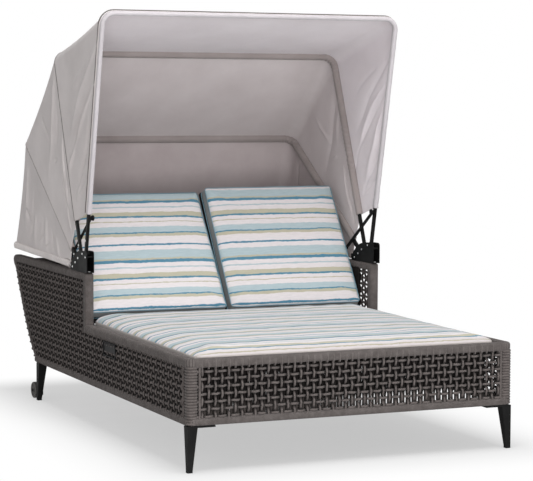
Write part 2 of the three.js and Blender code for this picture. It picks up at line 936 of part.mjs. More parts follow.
function cushion(x0, x1, y0, y1, z0, thick) {
  const half_a = (x1 - x0) / 2;
  const half_b = (y1 - y0) / 2;
  const low = z0;
  const high = z0 + thick;
  const rings = [];
  const inner = half_a < half_b ? half_a : half_b;
  for (const share of cushion_ring_shares.edge) {
    rings.push([share[0] * cushion_edge, low + share[1] * cushion_edge]);
  }
  rings.push([cushion_draw, (low + high) / 2]);
  for (const share of [...cushion_ring_shares.edge].reverse()) {
    rings.push([share[0] * cushion_edge, high - share[1] * cushion_edge]);
  }
  for (const share of cushion_ring_shares.crown) {
    rings.push([cushion_edge + share[0] * (inner - 2 * cushion_edge), high + share[1] * cushion_crown]);
  }
  const vertices = [(x0 + x1) / 2, (y0 + y1) / 2, low];
  let count = 0;
  for (const ring of rings) {
    const radius = Math.max(cushion_corner - ring[0], cushion_corner / 4);
    const outline = roundedOutline(half_a - ring[0], half_b - ring[0], radius);
    count = outline.length;
    for (const point of outline) {
      const pinch_x = cushion_draw * (1 - (point[1] / half_b) ** 2) * (point[0] / half_a);
      const pinch_y = cushion_draw * (1 - (point[0] / half_a) ** 2) * (point[1] / half_b);
      vertices.push((x0 + x1) / 2 + point[0] - pinch_x, (y0 + y1) / 2 + point[1] - pinch_y, ring[1]);
    }
  }
  vertices.push((x0 + x1) / 2, (y0 + y1) / 2, high + cushion_crown);
  const last = rings.length * count + 1;
  const faces = [];
  for (let i = 0; i < count; i += 1) {
    const next = (i + 1) % count;
    faces.push(0, 1 + next, 1 + i);
    for (let k = 0; k < rings.length - 1; k += 1) {
      const a = 1 + k * count;
      const b = a + count;
      faces.push(a + i, a + next, b + next, a + i, b + next, b + i);
    }
    const top = 1 + (rings.length - 1) * count;
    faces.push(last, top + i, top + next);
  }
  const geometry = new THREE.BufferGeometry();
  geometry.setAttribute('position', new THREE.BufferAttribute(new Float32Array(vertices), 3));
  geometry.setIndex(faces);
  geometry.computeVertexNormals();
  return geometry;
}

// A canopy bow in its own plane: x across, y away from the pivots, z along its fold
function bow(size, boss) {
  const outer = bow_x + bow_width / 2;
  const inner = bow_x - bow_width / 2;
  const top = size.length + bow_width / 2;
  const under = size.length - bow_width / 2;
  const big = bow_corner + bow_width / 2;
  const small = bow_corner - bow_width / 2;
  const shape = new THREE.Shape();
  shape.moveTo(outer, 0);
  shape.lineTo(outer, top - big);
  shape.absarc(outer - big, top - big, big, 0, Math.PI / 2, false);
  shape.lineTo(-outer + big, top);
  shape.absarc(-outer + big, top - big, big, Math.PI / 2, Math.PI, false);
  shape.lineTo(-outer, 0);
  shape.lineTo(-inner, 0);
  shape.lineTo(-inner, under - small);
  shape.absarc(-inner + small, under - small, small, Math.PI, Math.PI / 2, true);
  shape.lineTo(inner - small, under);
  shape.absarc(inner - small, under - small, small, Math.PI / 2, 0, true);
  shape.lineTo(inner, 0);
  shape.closePath();
  const hoop = new THREE.ExtrudeGeometry(shape, {
    depth: bow_depth - 2 * bow_edge,
    bevelEnabled: true,
    bevelThickness: bow_edge,
    bevelSize: bow_edge,
    bevelOffset: -bow_edge,
    bevelSegments: 1,
    curveSegments: bend_steps,
  });
  hoop.translate(0, 0, bow_edge - bow_depth / 2);
  const parts = [hoop];
  const holes = [];
  for (const side of [-1, 1]) {
    const ends = (a, b) => [Math.min(side * a, side * b), Math.max(side * a, side * b)];
    parts.push(barX(bow_depth / 2, ...ends(inner, outer), 0, 0, wheel_steps));
    holes.push(holeX(bow_pin / 2 + bow_clearance, ...ends(inner - overrun, outer + overrun), 0, 0));
    parts.push(barX(bow_screw, ...ends(outer - overrun, outer + bow_screw_height), bow_screw_reach, 0));
    if (boss) {
      parts.push(barX(stay_spacer_radius, ...ends(inner + overrun, inner - stay_spacer), boss, 0));
    }
    if (boss === stay_reach_rear) {
      const reach = stay_spacer + stay_thick + 2 * stay_gap;
      parts.push(barX(stay_pin / 2, ...ends(inner, inner - reach), boss, 0));
      parts.push(barX(stay_spacer_radius, ...ends(inner - reach, inner - reach - overrun), boss, 0));
    }
  }
  return join(parts, holes);
}

// Bracket on the arm: two rounded plates, a base plate and the pins of the four bows
function bracketProfile() {
  const shape = new THREE.Shape();
  const foot = arm_top + seat_gap;
  shape.moveTo(bracket_front, foot);
  shape.lineTo(bracket_rear, foot);
  shape.lineTo(bracket_rear, bracket_low);
  shape.quadraticCurveTo(bows.third.pivot_y + bow_corner / 2, bracket_high, bows.front.pivot_y, bracket_high);
  shape.lineTo(bracket_front + bracket_corner, bracket_high);
  shape.quadraticCurveTo(bracket_front, bracket_high, bracket_front, bracket_high - bracket_corner);
  shape.closePath();
  return shape;
}

function bracket() {
  const foot = arm_top + seat_gap;
  const parts = [
    plateX(bracketProfile(), bracket_inner, bracket_inner + bracket_plate),
    plateX(bracketProfile(), bracket_outer - bracket_plate, bracket_outer),
    block(bracket_inner, bracket_outer, bracket_front, bracket_rear, foot, foot + bracket_plate),
    barX(bow_pin / 2, bracket_inner, bracket_outer, spacer_y, spacer_z),
    barX(rivet_head, bracket_outer - rivet_height, bracket_outer + rivet_height, spacer_y, spacer_z),
  ];
  for (const size of Object.values(bows)) {
    const inner = bow_x - bow_width / 2 - collar_gap;
    const outer = bow_x + bow_width / 2 + collar_gap;
    const y = size.pivot_y;
    const z = size.pivot_z;
    parts.push(barX(bow_pin / 2, bracket_inner, bracket_outer, y, z));
    parts.push(barX(collar, bracket_inner + bracket_plate / 2, inner, y, z));
    parts.push(barX(collar, outer, bracket_outer - bracket_plate / 2, y, z));
    parts.push(barX(rivet_head, bracket_inner - rivet_height, bracket_inner + rivet_height, y, z));
    parts.push(barX(rivet_head, bracket_outer - rivet_height, bracket_outer + rivet_height, y, z));
  }
  for (const y of [bracket_front + bracket_corner, bows.second.pivot_y]) {
    const x = (bracket_inner + bracket_outer) / 2;
    const high = foot + bracket_plate + rivet_height;
    parts.push(barZ(base_screw, x, y, foot + bracket_plate / 2, high));
  }
  return join(parts);
}

// Where a bow's point lies in the side view
function bowPlace(size, reach) {
  const angle = THREE.MathUtils.degToRad(size.angle);
  return new THREE.Vector2(
    size.pivot_y + reach * Math.cos(angle),
    size.pivot_z + reach * Math.sin(angle),
  );
}

const stay_foot = bowPlace(bows.rear, stay_reach_rear);
const stay_head = bowPlace(bows.front, stay_reach_front);
const stay_length = stay_foot.distanceTo(stay_head);
const stay_x = bow_x - bow_width / 2 - stay_spacer - stay_gap;

// Stay bar along y from its hinge on the rear bow
function stay() {
  const r = stay_width / 2;
  const shape = new THREE.Shape();
  shape.moveTo(0, -r);
  shape.lineTo(stay_length, -r);
  shape.absarc(stay_length, 0, r, -Math.PI / 2, Math.PI / 2, false);
  shape.lineTo(0, r);
  shape.absarc(0, 0, r, Math.PI / 2, (3 * Math.PI) / 2, false);
  for (const y of [0, stay_length]) {
    const hole = new THREE.Path();
    hole.absarc(y, 0, stay_pin / 2 + hinge_clearance, 0, 2 * Math.PI, true);
    shape.holes.push(hole);
  }
  return plateX(shape, stay_x - stay_thick, stay_x);
}

function knob() {
  const face = stay_x - stay_thick - stay_gap;
  const profile = [
    [0, 0],
    [knob_radius - bow_edge, 0],
    [knob_radius, bow_edge],
    [knob_radius, knob_length / 2],
    [knob_waist, knob_length],
    [stay_pin / 2, knob_length],
    [stay_pin / 2, knob_length + stay_gap + stay_thick],
    [0, knob_length + stay_gap + stay_thick],
  ];
  const points = profile.map((place) => new THREE.Vector2(place[0], place[1]));
  const geometry = new THREE.LatheGeometry(points, round_steps);
  return geometry.rotateZ(-Math.PI / 2).translate(face - knob_length, stay_length, 0);
}

// Stations along a bow from the foot of one arm's sleeve, over the top, to the other
const arm_stations = 5;
const corner_stations = 3;
const top_stations = 6;

function stations(size) {
  const list = [];
  const straight = size.length - bow_corner;
  for (let i = 0; i < arm_stations; i += 1) {
    const share = i / arm_stations;
    const r = size.sleeve + (straight - size.sleeve) * share;
    list.push({ x: -bow_x, r, nx: -1, nr: 0, share, round: 0, stretch: 1 });
  }
  const half_step = Math.PI / 4 / corner_stations;
  for (let i = 0; i < corner_stations; i += 1) {
    const angle = Math.PI - (2 * i + 1) * half_step;
    const centre = { x: -bow_x + bow_corner, r: straight };
    const way = { nx: Math.cos(angle), nr: Math.sin(angle) };
    list.push({ ...centre, ...way, share: 1, round: bow_corner, stretch: 1 / Math.cos(half_step) });
  }
  for (let i = 0; i <= top_stations / 2; i += 1) {
    const share = i / (top_stations / 2);
    const x = (-bow_x + bow_corner) * (1 - share);
    list.push({ x, r: size.length, nx: 0, nr: 1, share: 1 + share, round: 0, stretch: 1 });
  }
  const other = list.slice(0, -1).reverse();
  return [...list, ...other.map((s) => ({ ...s, x: -s.x, nx: -s.nx }))];
}

// A point off a bow at a station: o outwards in the bow's plane, m towards the rear. Round a corner the
// outer cloth stands off its facets, and the inner cloth is drawn across them.
function clothPoint(size, s, o, m) {
  const angle = THREE.MathUtils.degToRad(size.angle);
  const out = (s.round + o) * (o > 0 ? s.stretch : 1);
  const r = s.r + out * s.nr;
  return new THREE.Vector3(
    s.x + out * s.nx,
    size.pivot_y + r * Math.cos(angle) + m * Math.sin(angle),
    size.pivot_z + r * Math.sin(angle) - m * Math.cos(angle),
  );
}

function clothNormal(size, s) {
  const angle = THREE.MathUtils.degToRad(size.angle);
  return new THREE.Vector3(s.nx, s.nr * Math.cos(angle), s.nr * Math.sin(angle));
}

const span_steps = 6;
const fold_count = 3;
const side_sag_share = 0.4;

// Cloth between two bows: it wraps the front bow as a sleeve and ends at, or hangs over, the rear one
function canopyPanel(front, rear, sag, hem) {
  const o = bow_width / 2 + cloth_gap;
  const m = bow_depth / 2 + cloth_gap;
  const inside = [];
  const outside = [];
  const front_stations = stations(front);
  const rear_stations = stations(rear);
  for (let k = 0; k < front_stations.length; k += 1) {
    const a = front_stations[k];
    const b = rear_stations[k];
    const near = [];
    const far = [];
    const wrap = [[-o, sleeve_wrap, -1, 0], [-o, -m, -1, -1], [o, -m, 1, -1], [o, m, 1, 0]];
    for (const place of wrap) {
      near.push(clothPoint(front, a, place[0], place[1]));
      far.push(clothPoint(front, a, place[0] + place[2] * cloth, place[1] + place[3] * cloth));
    }
    const start = near[near.length - 1];
    const finish_m = hem ? -m : -(m + cloth + seat_gap);
    const end = clothPoint(rear, b, o, finish_m);
    const start_normal = clothNormal(front, a);
    const end_normal = clothNormal(rear, b);
    for (let i = 1; i <= span_steps; i += 1) {
      const share = i / span_steps;
      const normal = start_normal.clone().lerp(end_normal, share).normalize();
      const wave = 1 + Math.cos(2 * Math.PI * fold_count * a.share) * (cloth_fold / cloth_sag);
      const side = side_sag_share + (1 - side_sag_share) * a.nr;
      const depth = sag * side * wave * Math.sin(Math.PI * share);
      const point = start.clone().lerp(end, share).addScaledVector(normal, -depth);
      near.push(point);
      far.push(point.clone().addScaledVector(normal, cloth));
    }
    if (hem) {
      const height = hem_front_height + (hem_rear_height - hem_front_height) * (b.r / rear.length);
      const low = clothPoint(rear, b, o, 0).z - (arm_top + height);
      for (const place of [m, Math.max(low, m + cloth)]) {
        near.push(clothPoint(rear, b, o, place));
        far.push(clothPoint(rear, b, o + cloth, place));
      }
    }
    inside.push(near);
    outside.push(far);
  }
  return shell(inside, outside);
}

// A closed shell between two grids of points
function shell(inside, outside) {
  const rows = inside.length;
  const columns = inside[0].length;
  const vertices = [];
  for (const grid of [inside, outside]) {
    for (const row of grid) {
      for (const point of row) {
        vertices.push(point.x, point.y, point.z);
      }
    }
  }
  const faces = [];
  const quad = (a, b, c, d) => faces.push(a, b, c, a, c, d);
  const low = (k, j) => k * columns + j;
  const high = (k, j) => rows * columns + k * columns + j;
  for (let k = 0; k < rows - 1; k += 1) {
    for (let j = 0; j < columns - 1; j += 1) {
      quad(low(k, j), low(k, j + 1), low(k + 1, j + 1), low(k + 1, j));
      quad(high(k, j), high(k + 1, j), high(k + 1, j + 1), high(k, j + 1));
    }
    quad(low(k, 0), low(k + 1, 0), high(k + 1, 0), high(k, 0));
    quad(low(k + 1, columns - 1), low(k, columns - 1), high(k, columns - 1), high(k + 1, columns - 1));
  }
  for (let j = 0; j < columns - 1; j += 1) {
    quad(low(0, j + 1), low(0, j), high(0, j), high(0, j + 1));
    quad(low(rows - 1, j), low(rows - 1, j + 1), high(rows - 1, j + 1), high(rows - 1, j));
  }
  const geometry = new THREE.BufferGeometry();
  geometry.setAttribute('position', new THREE.BufferAttribute(new Float32Array(vertices), 3));
  geometry.setIndex(faces);
  geometry.computeVertexNormals();
  return geometry;
}

// Base panels
add('front_frame', frontFrame(), rope_finish());
add('front_weave', frontNet(), rope_finish());
add('rear_frame', rearFrame(), rope_finish());
add('rear_weave', rearNet(), rope_finish());
const sides = { right: (geometry) => geometry, left: mirrored };
for (const [side, place] of Object.entries(sides)) {
  add(`${side}_side_frame`, place(sideFrame()), rope_finish());
  add(`${side}_low_weave`, place(lowNet()), rope_finish());
  add(`${side}_arm_weave`, place(armNet()), rope_finish());
}

// Legs, glides and wheels
const leg_places = {
  front: leg_inset + leg_top / 2,
  rear: base_length - rear_leg_inset,
};
for (const [side, place] of Object.entries(sides)) {
  const sign = side === 'right' ? 1 : -1;
  const x = sign * (overall_width / 2 - leg_inset - leg_top / 2);
  const front = add(`${side}_front_leg`, place(join(legSolid())), metal_finish());
  front.position.set(x, leg_places.front, 0);
  const rear_leg = join([...legSolid().map(reversed), ...wheelArm()]);
  const rear = add(`${side}_rear_leg`, place(rear_leg), metal_finish());
  rear.position.set(x, leg_places.rear, 0);
  const front_glide = add(`${side}_front_glide`, place(glide()), plastic_finish());
  front_glide.position.set(x, leg_places.front, 0);
  const rear_glide = add(`${side}_rear_glide`, place(reversed(glide())), plastic_finish());
  rear_glide.position.set(x, leg_places.rear, 0);
  const roller = add(`${side}_wheel`, wheel(), wheel_finish());
  const wheel_x = leg_top / 2 - wheel_width / 2;
  roller.position.set(x + sign * wheel_x, leg_places.rear + wheel_behind_leg, wheel_radius + wheel_floor_gap);
}

// Seat deck and the bar of the gas springs
add('seat_deck', seatDeck(), tube_finish());
add('spring_bar', springBar(), tube_finish());

// Seat cushion
const seat_half = inner_x - seat_side_gap;
add(
  'seat_cushion',
  cushion(-seat_half, seat_half, seat_front, seat_rear, seat_bottom, seat_thick),
  cushion_finish(),
);

// Reclining backs with their gas springs and release handles
const back_angles = { right: right_back_angle, left: left_back_angle };
for (const [side, place] of Object.entries(sides)) {
  const sign = side === 'right' ? 1 : -1;
  const angle = THREE.MathUtils.degToRad(back_angles[side]);
  const back = new THREE.Group();
  back.position.set(0, back_pivot_y, back_pivot_z);
  back.rotation.x = angle;
  daybed.add(back);
  add(`${side}_back_frame`, place(backFrame()), tube_finish(), back);
  const pad = cushion(
    cushion_middle_gap,
    inner_x - cushion_outer_gap,
    back_cushion_start,
    back_cushion_end,
    back_tube / 2 + seat_gap,
    back_cushion_thick,
  );
  add(`${side}_back_cushion`, place(pad), cushion_finish(), back);
  const eye = new THREE.Vector2(spring_reach, -spring_drop).rotateAround(new THREE.Vector2(), angle);
  eye.add(new THREE.Vector2(back_pivot_y - spring_foot_y, back_pivot_z - spring_foot_z));
  const spring = new THREE.Group();
  spring.position.set(sign * spring_x, spring_foot_y, spring_foot_z);
  spring.rotation.x = eye.angle();
  daybed.add(spring);
  add(`${side}_spring_cylinder`, springCylinder(), metal_finish(), spring);
  add(`${side}_spring_rod`, springRod(eye.length()), steel_finish(), spring);
  add(`${side}_handle_bezel`, place(bezel()), plastic_finish());
  add(`${side}_release_paddle`, place(paddle()), plastic_finish());
}

// Canopy: brackets, bows, stays and cloth
for (const [side, place] of Object.entries(sides)) {
  add(`${side}_canopy_bracket`, place(bracket()), metal_finish());
  const arm = new THREE.Group();
  arm.position.set(0, stay_foot.x, stay_foot.y);
  arm.rotation.x = stay_head.clone().sub(stay_foot).angle();
  daybed.add(arm);
  add(`${side}_stay`, place(stay()), metal_finish(), arm);
  add(`${side}_stay_knob`, place(knob()), plastic_finish(), arm);
}
const bosses = { front: stay_reach_front, rear: stay_reach_rear };
for (const [name, size] of Object.entries(bows)) {
  const hoop = add(`${name}_bow`, bow(size, bosses[name]), metal_finish());
  hoop.position.set(0, size.pivot_y, size.pivot_z);
  hoop.rotation.x = THREE.MathUtils.degToRad(size.angle);
}
add('canopy_roof', canopyPanel(bows.front, bows.second, cloth_sag, false), cloth_finish());
add('canopy_slope', canopyPanel(bows.second, bows.third, cloth_sag, false), cloth_finish());
add('canopy_back', canopyPanel(bows.third, bows.rear, cloth_sag / 2, true), cloth_finish());

// The origin lies on the ground under the middle of the object
const extent = new THREE.Box3().setFromObject(daybed, true);
daybed.position.set(0, -(extent.min.y + extent.max.y) / 2, 0);

export default daybed;
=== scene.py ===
"""Outdoor double daybed with a folding canopy: the looks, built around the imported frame.

Metres, x across, y from the front to the rear, z up. Places are laid out from the front face of the
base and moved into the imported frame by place(). Left is -x and right is +x.
"""
import math
from collections import namedtuple

import bpy
import numpy as np
from mathutils import Matrix, Vector


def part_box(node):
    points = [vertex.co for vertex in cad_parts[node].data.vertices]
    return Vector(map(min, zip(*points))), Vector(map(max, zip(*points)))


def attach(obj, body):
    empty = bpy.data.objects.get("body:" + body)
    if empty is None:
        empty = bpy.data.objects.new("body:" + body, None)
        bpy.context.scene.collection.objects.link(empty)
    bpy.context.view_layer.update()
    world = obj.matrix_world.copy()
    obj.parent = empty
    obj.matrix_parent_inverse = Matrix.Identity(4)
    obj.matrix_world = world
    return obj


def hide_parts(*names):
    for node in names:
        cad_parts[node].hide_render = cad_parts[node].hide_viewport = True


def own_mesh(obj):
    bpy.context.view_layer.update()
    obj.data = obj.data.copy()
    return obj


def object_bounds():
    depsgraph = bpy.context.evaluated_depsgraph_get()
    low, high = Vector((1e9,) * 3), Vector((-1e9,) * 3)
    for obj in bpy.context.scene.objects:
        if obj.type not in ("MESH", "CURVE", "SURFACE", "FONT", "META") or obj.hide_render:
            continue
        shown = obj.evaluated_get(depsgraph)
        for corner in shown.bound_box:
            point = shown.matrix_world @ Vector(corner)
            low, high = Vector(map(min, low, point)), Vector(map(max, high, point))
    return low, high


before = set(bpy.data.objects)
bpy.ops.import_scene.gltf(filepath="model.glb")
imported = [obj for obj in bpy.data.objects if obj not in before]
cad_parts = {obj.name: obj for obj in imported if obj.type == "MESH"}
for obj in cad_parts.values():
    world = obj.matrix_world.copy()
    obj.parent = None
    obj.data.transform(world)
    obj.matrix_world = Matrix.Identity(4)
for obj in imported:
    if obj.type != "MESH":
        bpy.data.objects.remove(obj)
cad_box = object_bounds()
scene = bpy.context.scene
rng = np.random.default_rng(7)
SIDES = {"right": 1, "left": -1}
UP = (0, 0, 1)
ACROSS = (1, 0, 0)

# Sizes of the base, laid out as in the part's source
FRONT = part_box("front_frame")[0].y
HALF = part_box("front_frame")[1].x
BASE_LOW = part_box("front_frame")[0].z
RIM_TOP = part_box("front_frame")[1].z
ARM_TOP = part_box("left_side_frame")[1].z
DEPTH = 0.040
RIM = 0.035
FOOT_RAIL = 0.030
POST = 0.050
ARM_FRONT = 1.182
ARM_POST = 0.042
ARM_BEND = 0.051
BASE_LENGTH = 1.925
REAR_CURVE = ((BASE_LENGTH, BASE_LOW), (2.075, 0.267), (2.276, 0.622))
NET_LOW = BASE_LOW + FOOT_RAIL
NET_HIGH = RIM_TOP - RIM
SIDE_START = 0.060
SIDE_END = 2.262
INNER_SIDE_END = 2.225

# Wound rails: the rounding of their corners, the winding's pitch and height, and the air between two rails
RAIL_ROUND = 0.011
RIM_TURN = 0.016
WRAP = 0.0052
BULGE = 0.0010
COARSE_WRAP = 0.0112
COARSE_BULGE = 0.0036
SLACK = 0.0005
PATH_STEP = 0.004
CORNER_Y = 0.0272
CORNER_HALF_DEPTH = 0.0255
CORNER_ROUND = 0.017
CORNER_EDGES = ((0.0530, 0.0075), (0.0075, 0.0565))
STIFFENER_X = 0.335
STIFFENER_Y = 0.030
STIFFENER = (0.015, 0.005, 0.004)
ARM_POST_ROUND = 0.012
SLIM_POST_IN = 0.0275
SLIM_POST_HALF = 0.0095
SLIM_POST_ROUND = 0.006
REAR_RAILS = ((0.05, 0.056), (0.965, 0.040))
REAR_STILE_ENDS = (0.03, 0.97)
LEAN_STEPS = 24
LEAN_SHRINK = 0.86
LEAN_INSET = 0.0030

# Rope: its pitches in the weave, its radii and how far it weaves in and out
PITCH_ACROSS = 0.0272
PITCH_UP = 0.0284
FIRST_ROW = 0.0145
ROPE_UP = 0.0047
ROPE_ACROSS = 0.0049
ROPE_STRAY = 0.0006
WEAVE_SWING = 0.0044
PER_CROSS = 4
NET_INSET = 0.0115
INNER_NET_INSET = 0.033
TUCK = 0.010
INNER_THICK = 0.0067
INNER_THIN = 0.0044
APRON_LOW = 0.250
ARM_OPEN = 1.315
CORNER_OPEN = (0.588, 0.21)
TIE = 0.0034
TIE_OUT = 0.0010
TIE_START = 0.004
TIE_BEND = 0.009
TIE_STRAY = 0.001
EDGE_TURN = 0.013

# Canopy bows: pivot, angle in degrees, length and where the sleeve starts
Bow = namedtuple("Bow", "y z angle length sleeve")
BOWS = {
    "front": Bow(1.227, 0.729, 102.5, 1.040, 0.178),
    "second": Bow(1.286, 0.706, 68.0, 0.952, 0.168),
    "third": Bow(1.323, 0.685, 33.0, 0.934, 0.096),
    "rear": Bow(1.360, 0.664, 3.2, 0.910, 0.062),
}
BOW_BODIES = {"front": "front_bow", "second": "second_bow", "third": "third_bow", "rear": "base"}
BOW_X = 0.682
BOW_CORNER = 0.052
BOW_HALF_WIDTH = 0.006
BOW_SCREW_REACH = 0.058
CLOTH = 0.0016
CLOTH_OFF = 0.0105
HEM_HEIGHT = 0.028
HEM_RUFFLE = 0.0210
HEM_DROP = 0.024
STAY_REACH = 0.58
FOLD_EASE = 0.10
FOLD_START = 0.08
HEM_LEVELS = 8
HEM_STEP = 0.0022

# Cushions: the seat's box and the backs' box in each back's own plane
SEAT = (0.652, 0.046, 1.248, 0.412, 0.048)
BACK_PIVOT = (1.286, 0.402)
BACK_ANGLES = {"right": 57.5, "left": 53.5}
BACK_CUSHION = (0.005, 0.654, 0.040, 0.662, 0.0103, 0.052)
RUMPLE = 0.0009
BOXING_LEVELS = 3
CLOTH_FRAMES = 20
ROLL_POWER = 2.3
PIPING_RADIUS = 0.0020

# Rivets: their radius, how far they and the bracket's plates stand off, and where the single ones sit
RIVET = 0.0047
RIVET_PROUD = 0.0012
BRACKET_OUTER = 0.010
BRACKET_INNER = 0.012
FRONT_RIVET = (1.186, 0.717)
FOOT_RIVETS = (1.188, 1.286)

# The camera, fitted to the photograph
CAMERA_AT = (-3.31685, -7.79616, 1.40188)
CAMERA_YAW = 23.8033
CAMERA_PITCH = 4.2367
CAMERA_ROLL = 0.2443
CAMERA_LENS = 131.23


def place(x, y, z):
    return (x, y + FRONT, z)


def colour(red, green, blue):
    """A colour given as screen values from 0 to 255, as the linear one that shaders take."""
    def linear(value):
        share = value / 255
        return share / 12.92 if share <= 0.04045 else ((share + 0.055) / 1.055) ** 2.4
    return (linear(red), linear(green), linear(blue), 1.0)


# Materials
class Nodes:
    """A node tree with short calls that add and join nodes."""

    def __init__(self, tree):
        self.tree = tree

    def feed(self, value, socket):
        """Joins another node's output to a socket, or sets the socket to a plain value."""
        if isinstance(value, bpy.types.NodeSocket):
            self.tree.links.new(value, socket)
        else:
            socket.default_value = value

    def node(self, kind, sockets, **settings):
        made = self.tree.nodes.new(kind)
        for key, value in settings.items():
            setattr(made, key, value)
        for key, value in sockets.items():
            self.feed(value, made.inputs[key])
        return made

    def calc(self, a, b, operation="ADD"):
        return self.node("ShaderNodeMath", {0: a, 1: b}, operation=operation).outputs[0]

    def background_rays(self):
        """1 for the rays that see the background: from the camera, off metal and through glass."""
        seen = self.node("ShaderNodeLightPath", {}).outputs
        both = self.calc(seen["Is Camera Ray"], seen["Is Glossy Ray"], "MAXIMUM")
        return self.calc(both, seen["Is Transmission Ray"], "MAXIMUM")


class Shader(Nodes):
    """A material with one Principled shader. Tones are screen values from 0 to 255."""

    def __init__(self, name, roughness=0.8, metallic=0.0, sheen=0.0, specular=0.5):
        self.material = bpy.data.materials.new(name)
        self.material.use_nodes = True
        super().__init__(self.material.node_tree)
        self.base = self.tree.nodes["Principled BSDF"]
        self.base.inputs["Roughness"].default_value = roughness
        self.base.inputs["Metallic"].default_value = metallic
        self.base.inputs["Sheen Weight"].default_value = sheen
        self.base.inputs["Specular IOR Level"].default_value = specular

    def scaled(self, scale, by="Object"):
        """Coordinates times a scale for each axis."""
        at = self.node("ShaderNodeTexCoord", {}).outputs[by]
        return self.node("ShaderNodeMapping", {"Scale": scale, "Vector": at}).outputs["Vector"]

    def parts(self, by):
        """Coordinates as one output for each axis."""
        at = self.node("ShaderNodeTexCoord", {}).outputs[by]
        return self.node("ShaderNodeSeparateXYZ", {0: at}).outputs

    def noise(self, scale, detail=3.0, rough=0.55, by="Object", stretch=(1, 1, 1)):
        sockets = {"Scale": scale, "Detail": detail, "Roughness": rough, "Vector": self.scaled(stretch, by)}
        return self.node("ShaderNodeTexNoise", sockets).outputs["Fac"]

    def wave(self, stretch, direction):
        sockets = {"Scale": 1.0, "Distortion": 0.0, "Vector": self.scaled(stretch, "UV")}
        made = self.node("ShaderNodeTexWave", sockets, wave_type="BANDS", bands_direction=direction)
        return made.outputs["Fac"]

    def ramp(self, factor, stops, steps=False, screen=True):
        """A ramp through tones, or through plain levels where screen is false."""
        made = self.node("ShaderNodeValToRGB", {"Fac": factor})
        made.color_ramp.interpolation = "CONSTANT" if steps else "LINEAR"
        marks = made.color_ramp.elements
        while len(marks) < len(stops):
            marks.new(1.0)
        for mark, (at, tone) in zip(marks, stops):
            mark.position = at
            mark.color = colour(*tone) if screen else (tone, tone, tone, 1)
        return made.outputs["Color"]

    def fade(self, value, low, high, lowest=0.0, **settings):
        """From lowest, where the value is low, to 1 where it is high."""
        sockets = {"From Min": low, "From Max": high, "Value": value, "To Min": lowest}
        return self.node("ShaderNodeMapRange", sockets, **settings).outputs["Result"]

    def mix(self, factor, a, b, blend="MIX"):
        sockets = {0: factor, 6: a, 7: b}
        return self.node("ShaderNodeMix", sockets, data_type="RGBA", blend_type=blend).outputs[2]

    def rise(self, stops):
        """Tones by how open to the light a place of the mesh lies."""
        return self.ramp(self.node("ShaderNodeAttribute", {}, attribute_name="rise").outputs["Fac"], stops)

    def bump(self, height, distance, strength=1.0):
        made = self.node("ShaderNodeBump", {"Distance": distance, "Strength": strength, "Height": height})
        self.feed(made.outputs["Normal"], self.base.inputs["Normal"])

    def woven(self, threads, grain, strength):
        """Fine raised threads both ways, with some grain."""
        cross = self.calc(self.wave((threads, 1, 1), "X"), self.wave((1, threads, 1), "Y"))
        self.bump(self.calc(cross, grain), 0.0004, strength)

    def paint(self, socket):
        self.feed(socket, self.base.inputs["Base Color"])
        return self.material


def rope_material(name, dark, pale):
    """Braided outdoor rope: slanted strands along it and a little change of tone from turn to turn. Painted
    shade darkens the grooves between the strands. Through the mesh's rise, it also darkens the parts that dip
    under another rope, the rope's sides and the valleys of a winding.
    """
    s = Shader(name, roughness=0.88, sheen=0.06, specular=0.2)
    strands = s.wave((330, 620, 1), "DIAGONAL")
    base = s.ramp(s.noise(38, 4), [(0.3, dark), (0.72, pale)])
    # Painted shade in the grooves between the strands.
    groove_shade = s.ramp(strands, [(0.0, (178, 176, 174)), (0.5, (255, 255, 255))])
    # Painted shade from the rise: dark where the rope is hidden or turned away.
    valley = s.rise([(0.0, (56, 54, 53)), (0.5, (158, 156, 155)), (0.92, (255, 255, 255))])
    s.bump(s.calc(strands, s.noise(900, 2)), 0.0005, 0.5)
    return s.paint(s.mix(1.0, s.mix(0.55, base, groove_shade, "MULTIPLY"), valley, "MULTIPLY"))


def shaded_inner_rope_material():
    """The inner layer's rope, toned as painted light and shade: nearly black above APRON_LOW, where the frame
    stands close behind it, and paler near the foot, where light from the floor reaches it.
    """
    s = Shader("rope_inner_painted_shade", roughness=0.95, specular=0.1)
    # Painted shade grows with height, dark from APRON_LOW up.
    height = s.fade(s.parts("Object")["Z"], APRON_LOW - 0.02, APRON_LOW + 0.01)
    tone = s.noise(60, 3)
    low = s.ramp(tone, [(0.3, (50, 46, 44)), (0.7, (72, 67, 65))])
    high = s.ramp(tone, [(0.3, (20, 18, 17)), (0.7, (32, 29, 28))])
    s.bump(s.noise(800, 2), 0.0005, 0.5)
    return s.paint(s.mix(height, low, high))


def powder_coat(name, dark, pale, roughness):
    """Black powder coat with fine orange peel and worn tone."""
    s = Shader(name, roughness=roughness, specular=0.08)
    s.bump(s.noise(700, 2), 0.0003, 0.35)
    worn = s.ramp(s.noise(9, 4), [(0.3, roughness - 0.08), (0.8, roughness + 0.14)], screen=False)
    s.feed(worn, s.base.inputs["Roughness"])
    return s.paint(s.ramp(s.noise(14, 5), [(0.3, dark), (0.75, pale)]))


def grained(name, dark, pale, grain, patches, depth, strength, stretch=(1, 1, 1), **finish):
    """Plastic, rubber or metal with a fine grain, and patches of tone given as (scale, detail)."""
    s = Shader(name, **finish)
    s.bump(s.noise(*grain, stretch=stretch), depth, strength)
    return s.paint(s.ramp(s.noise(*patches), [(0.3, dark), (0.8, pale)]))


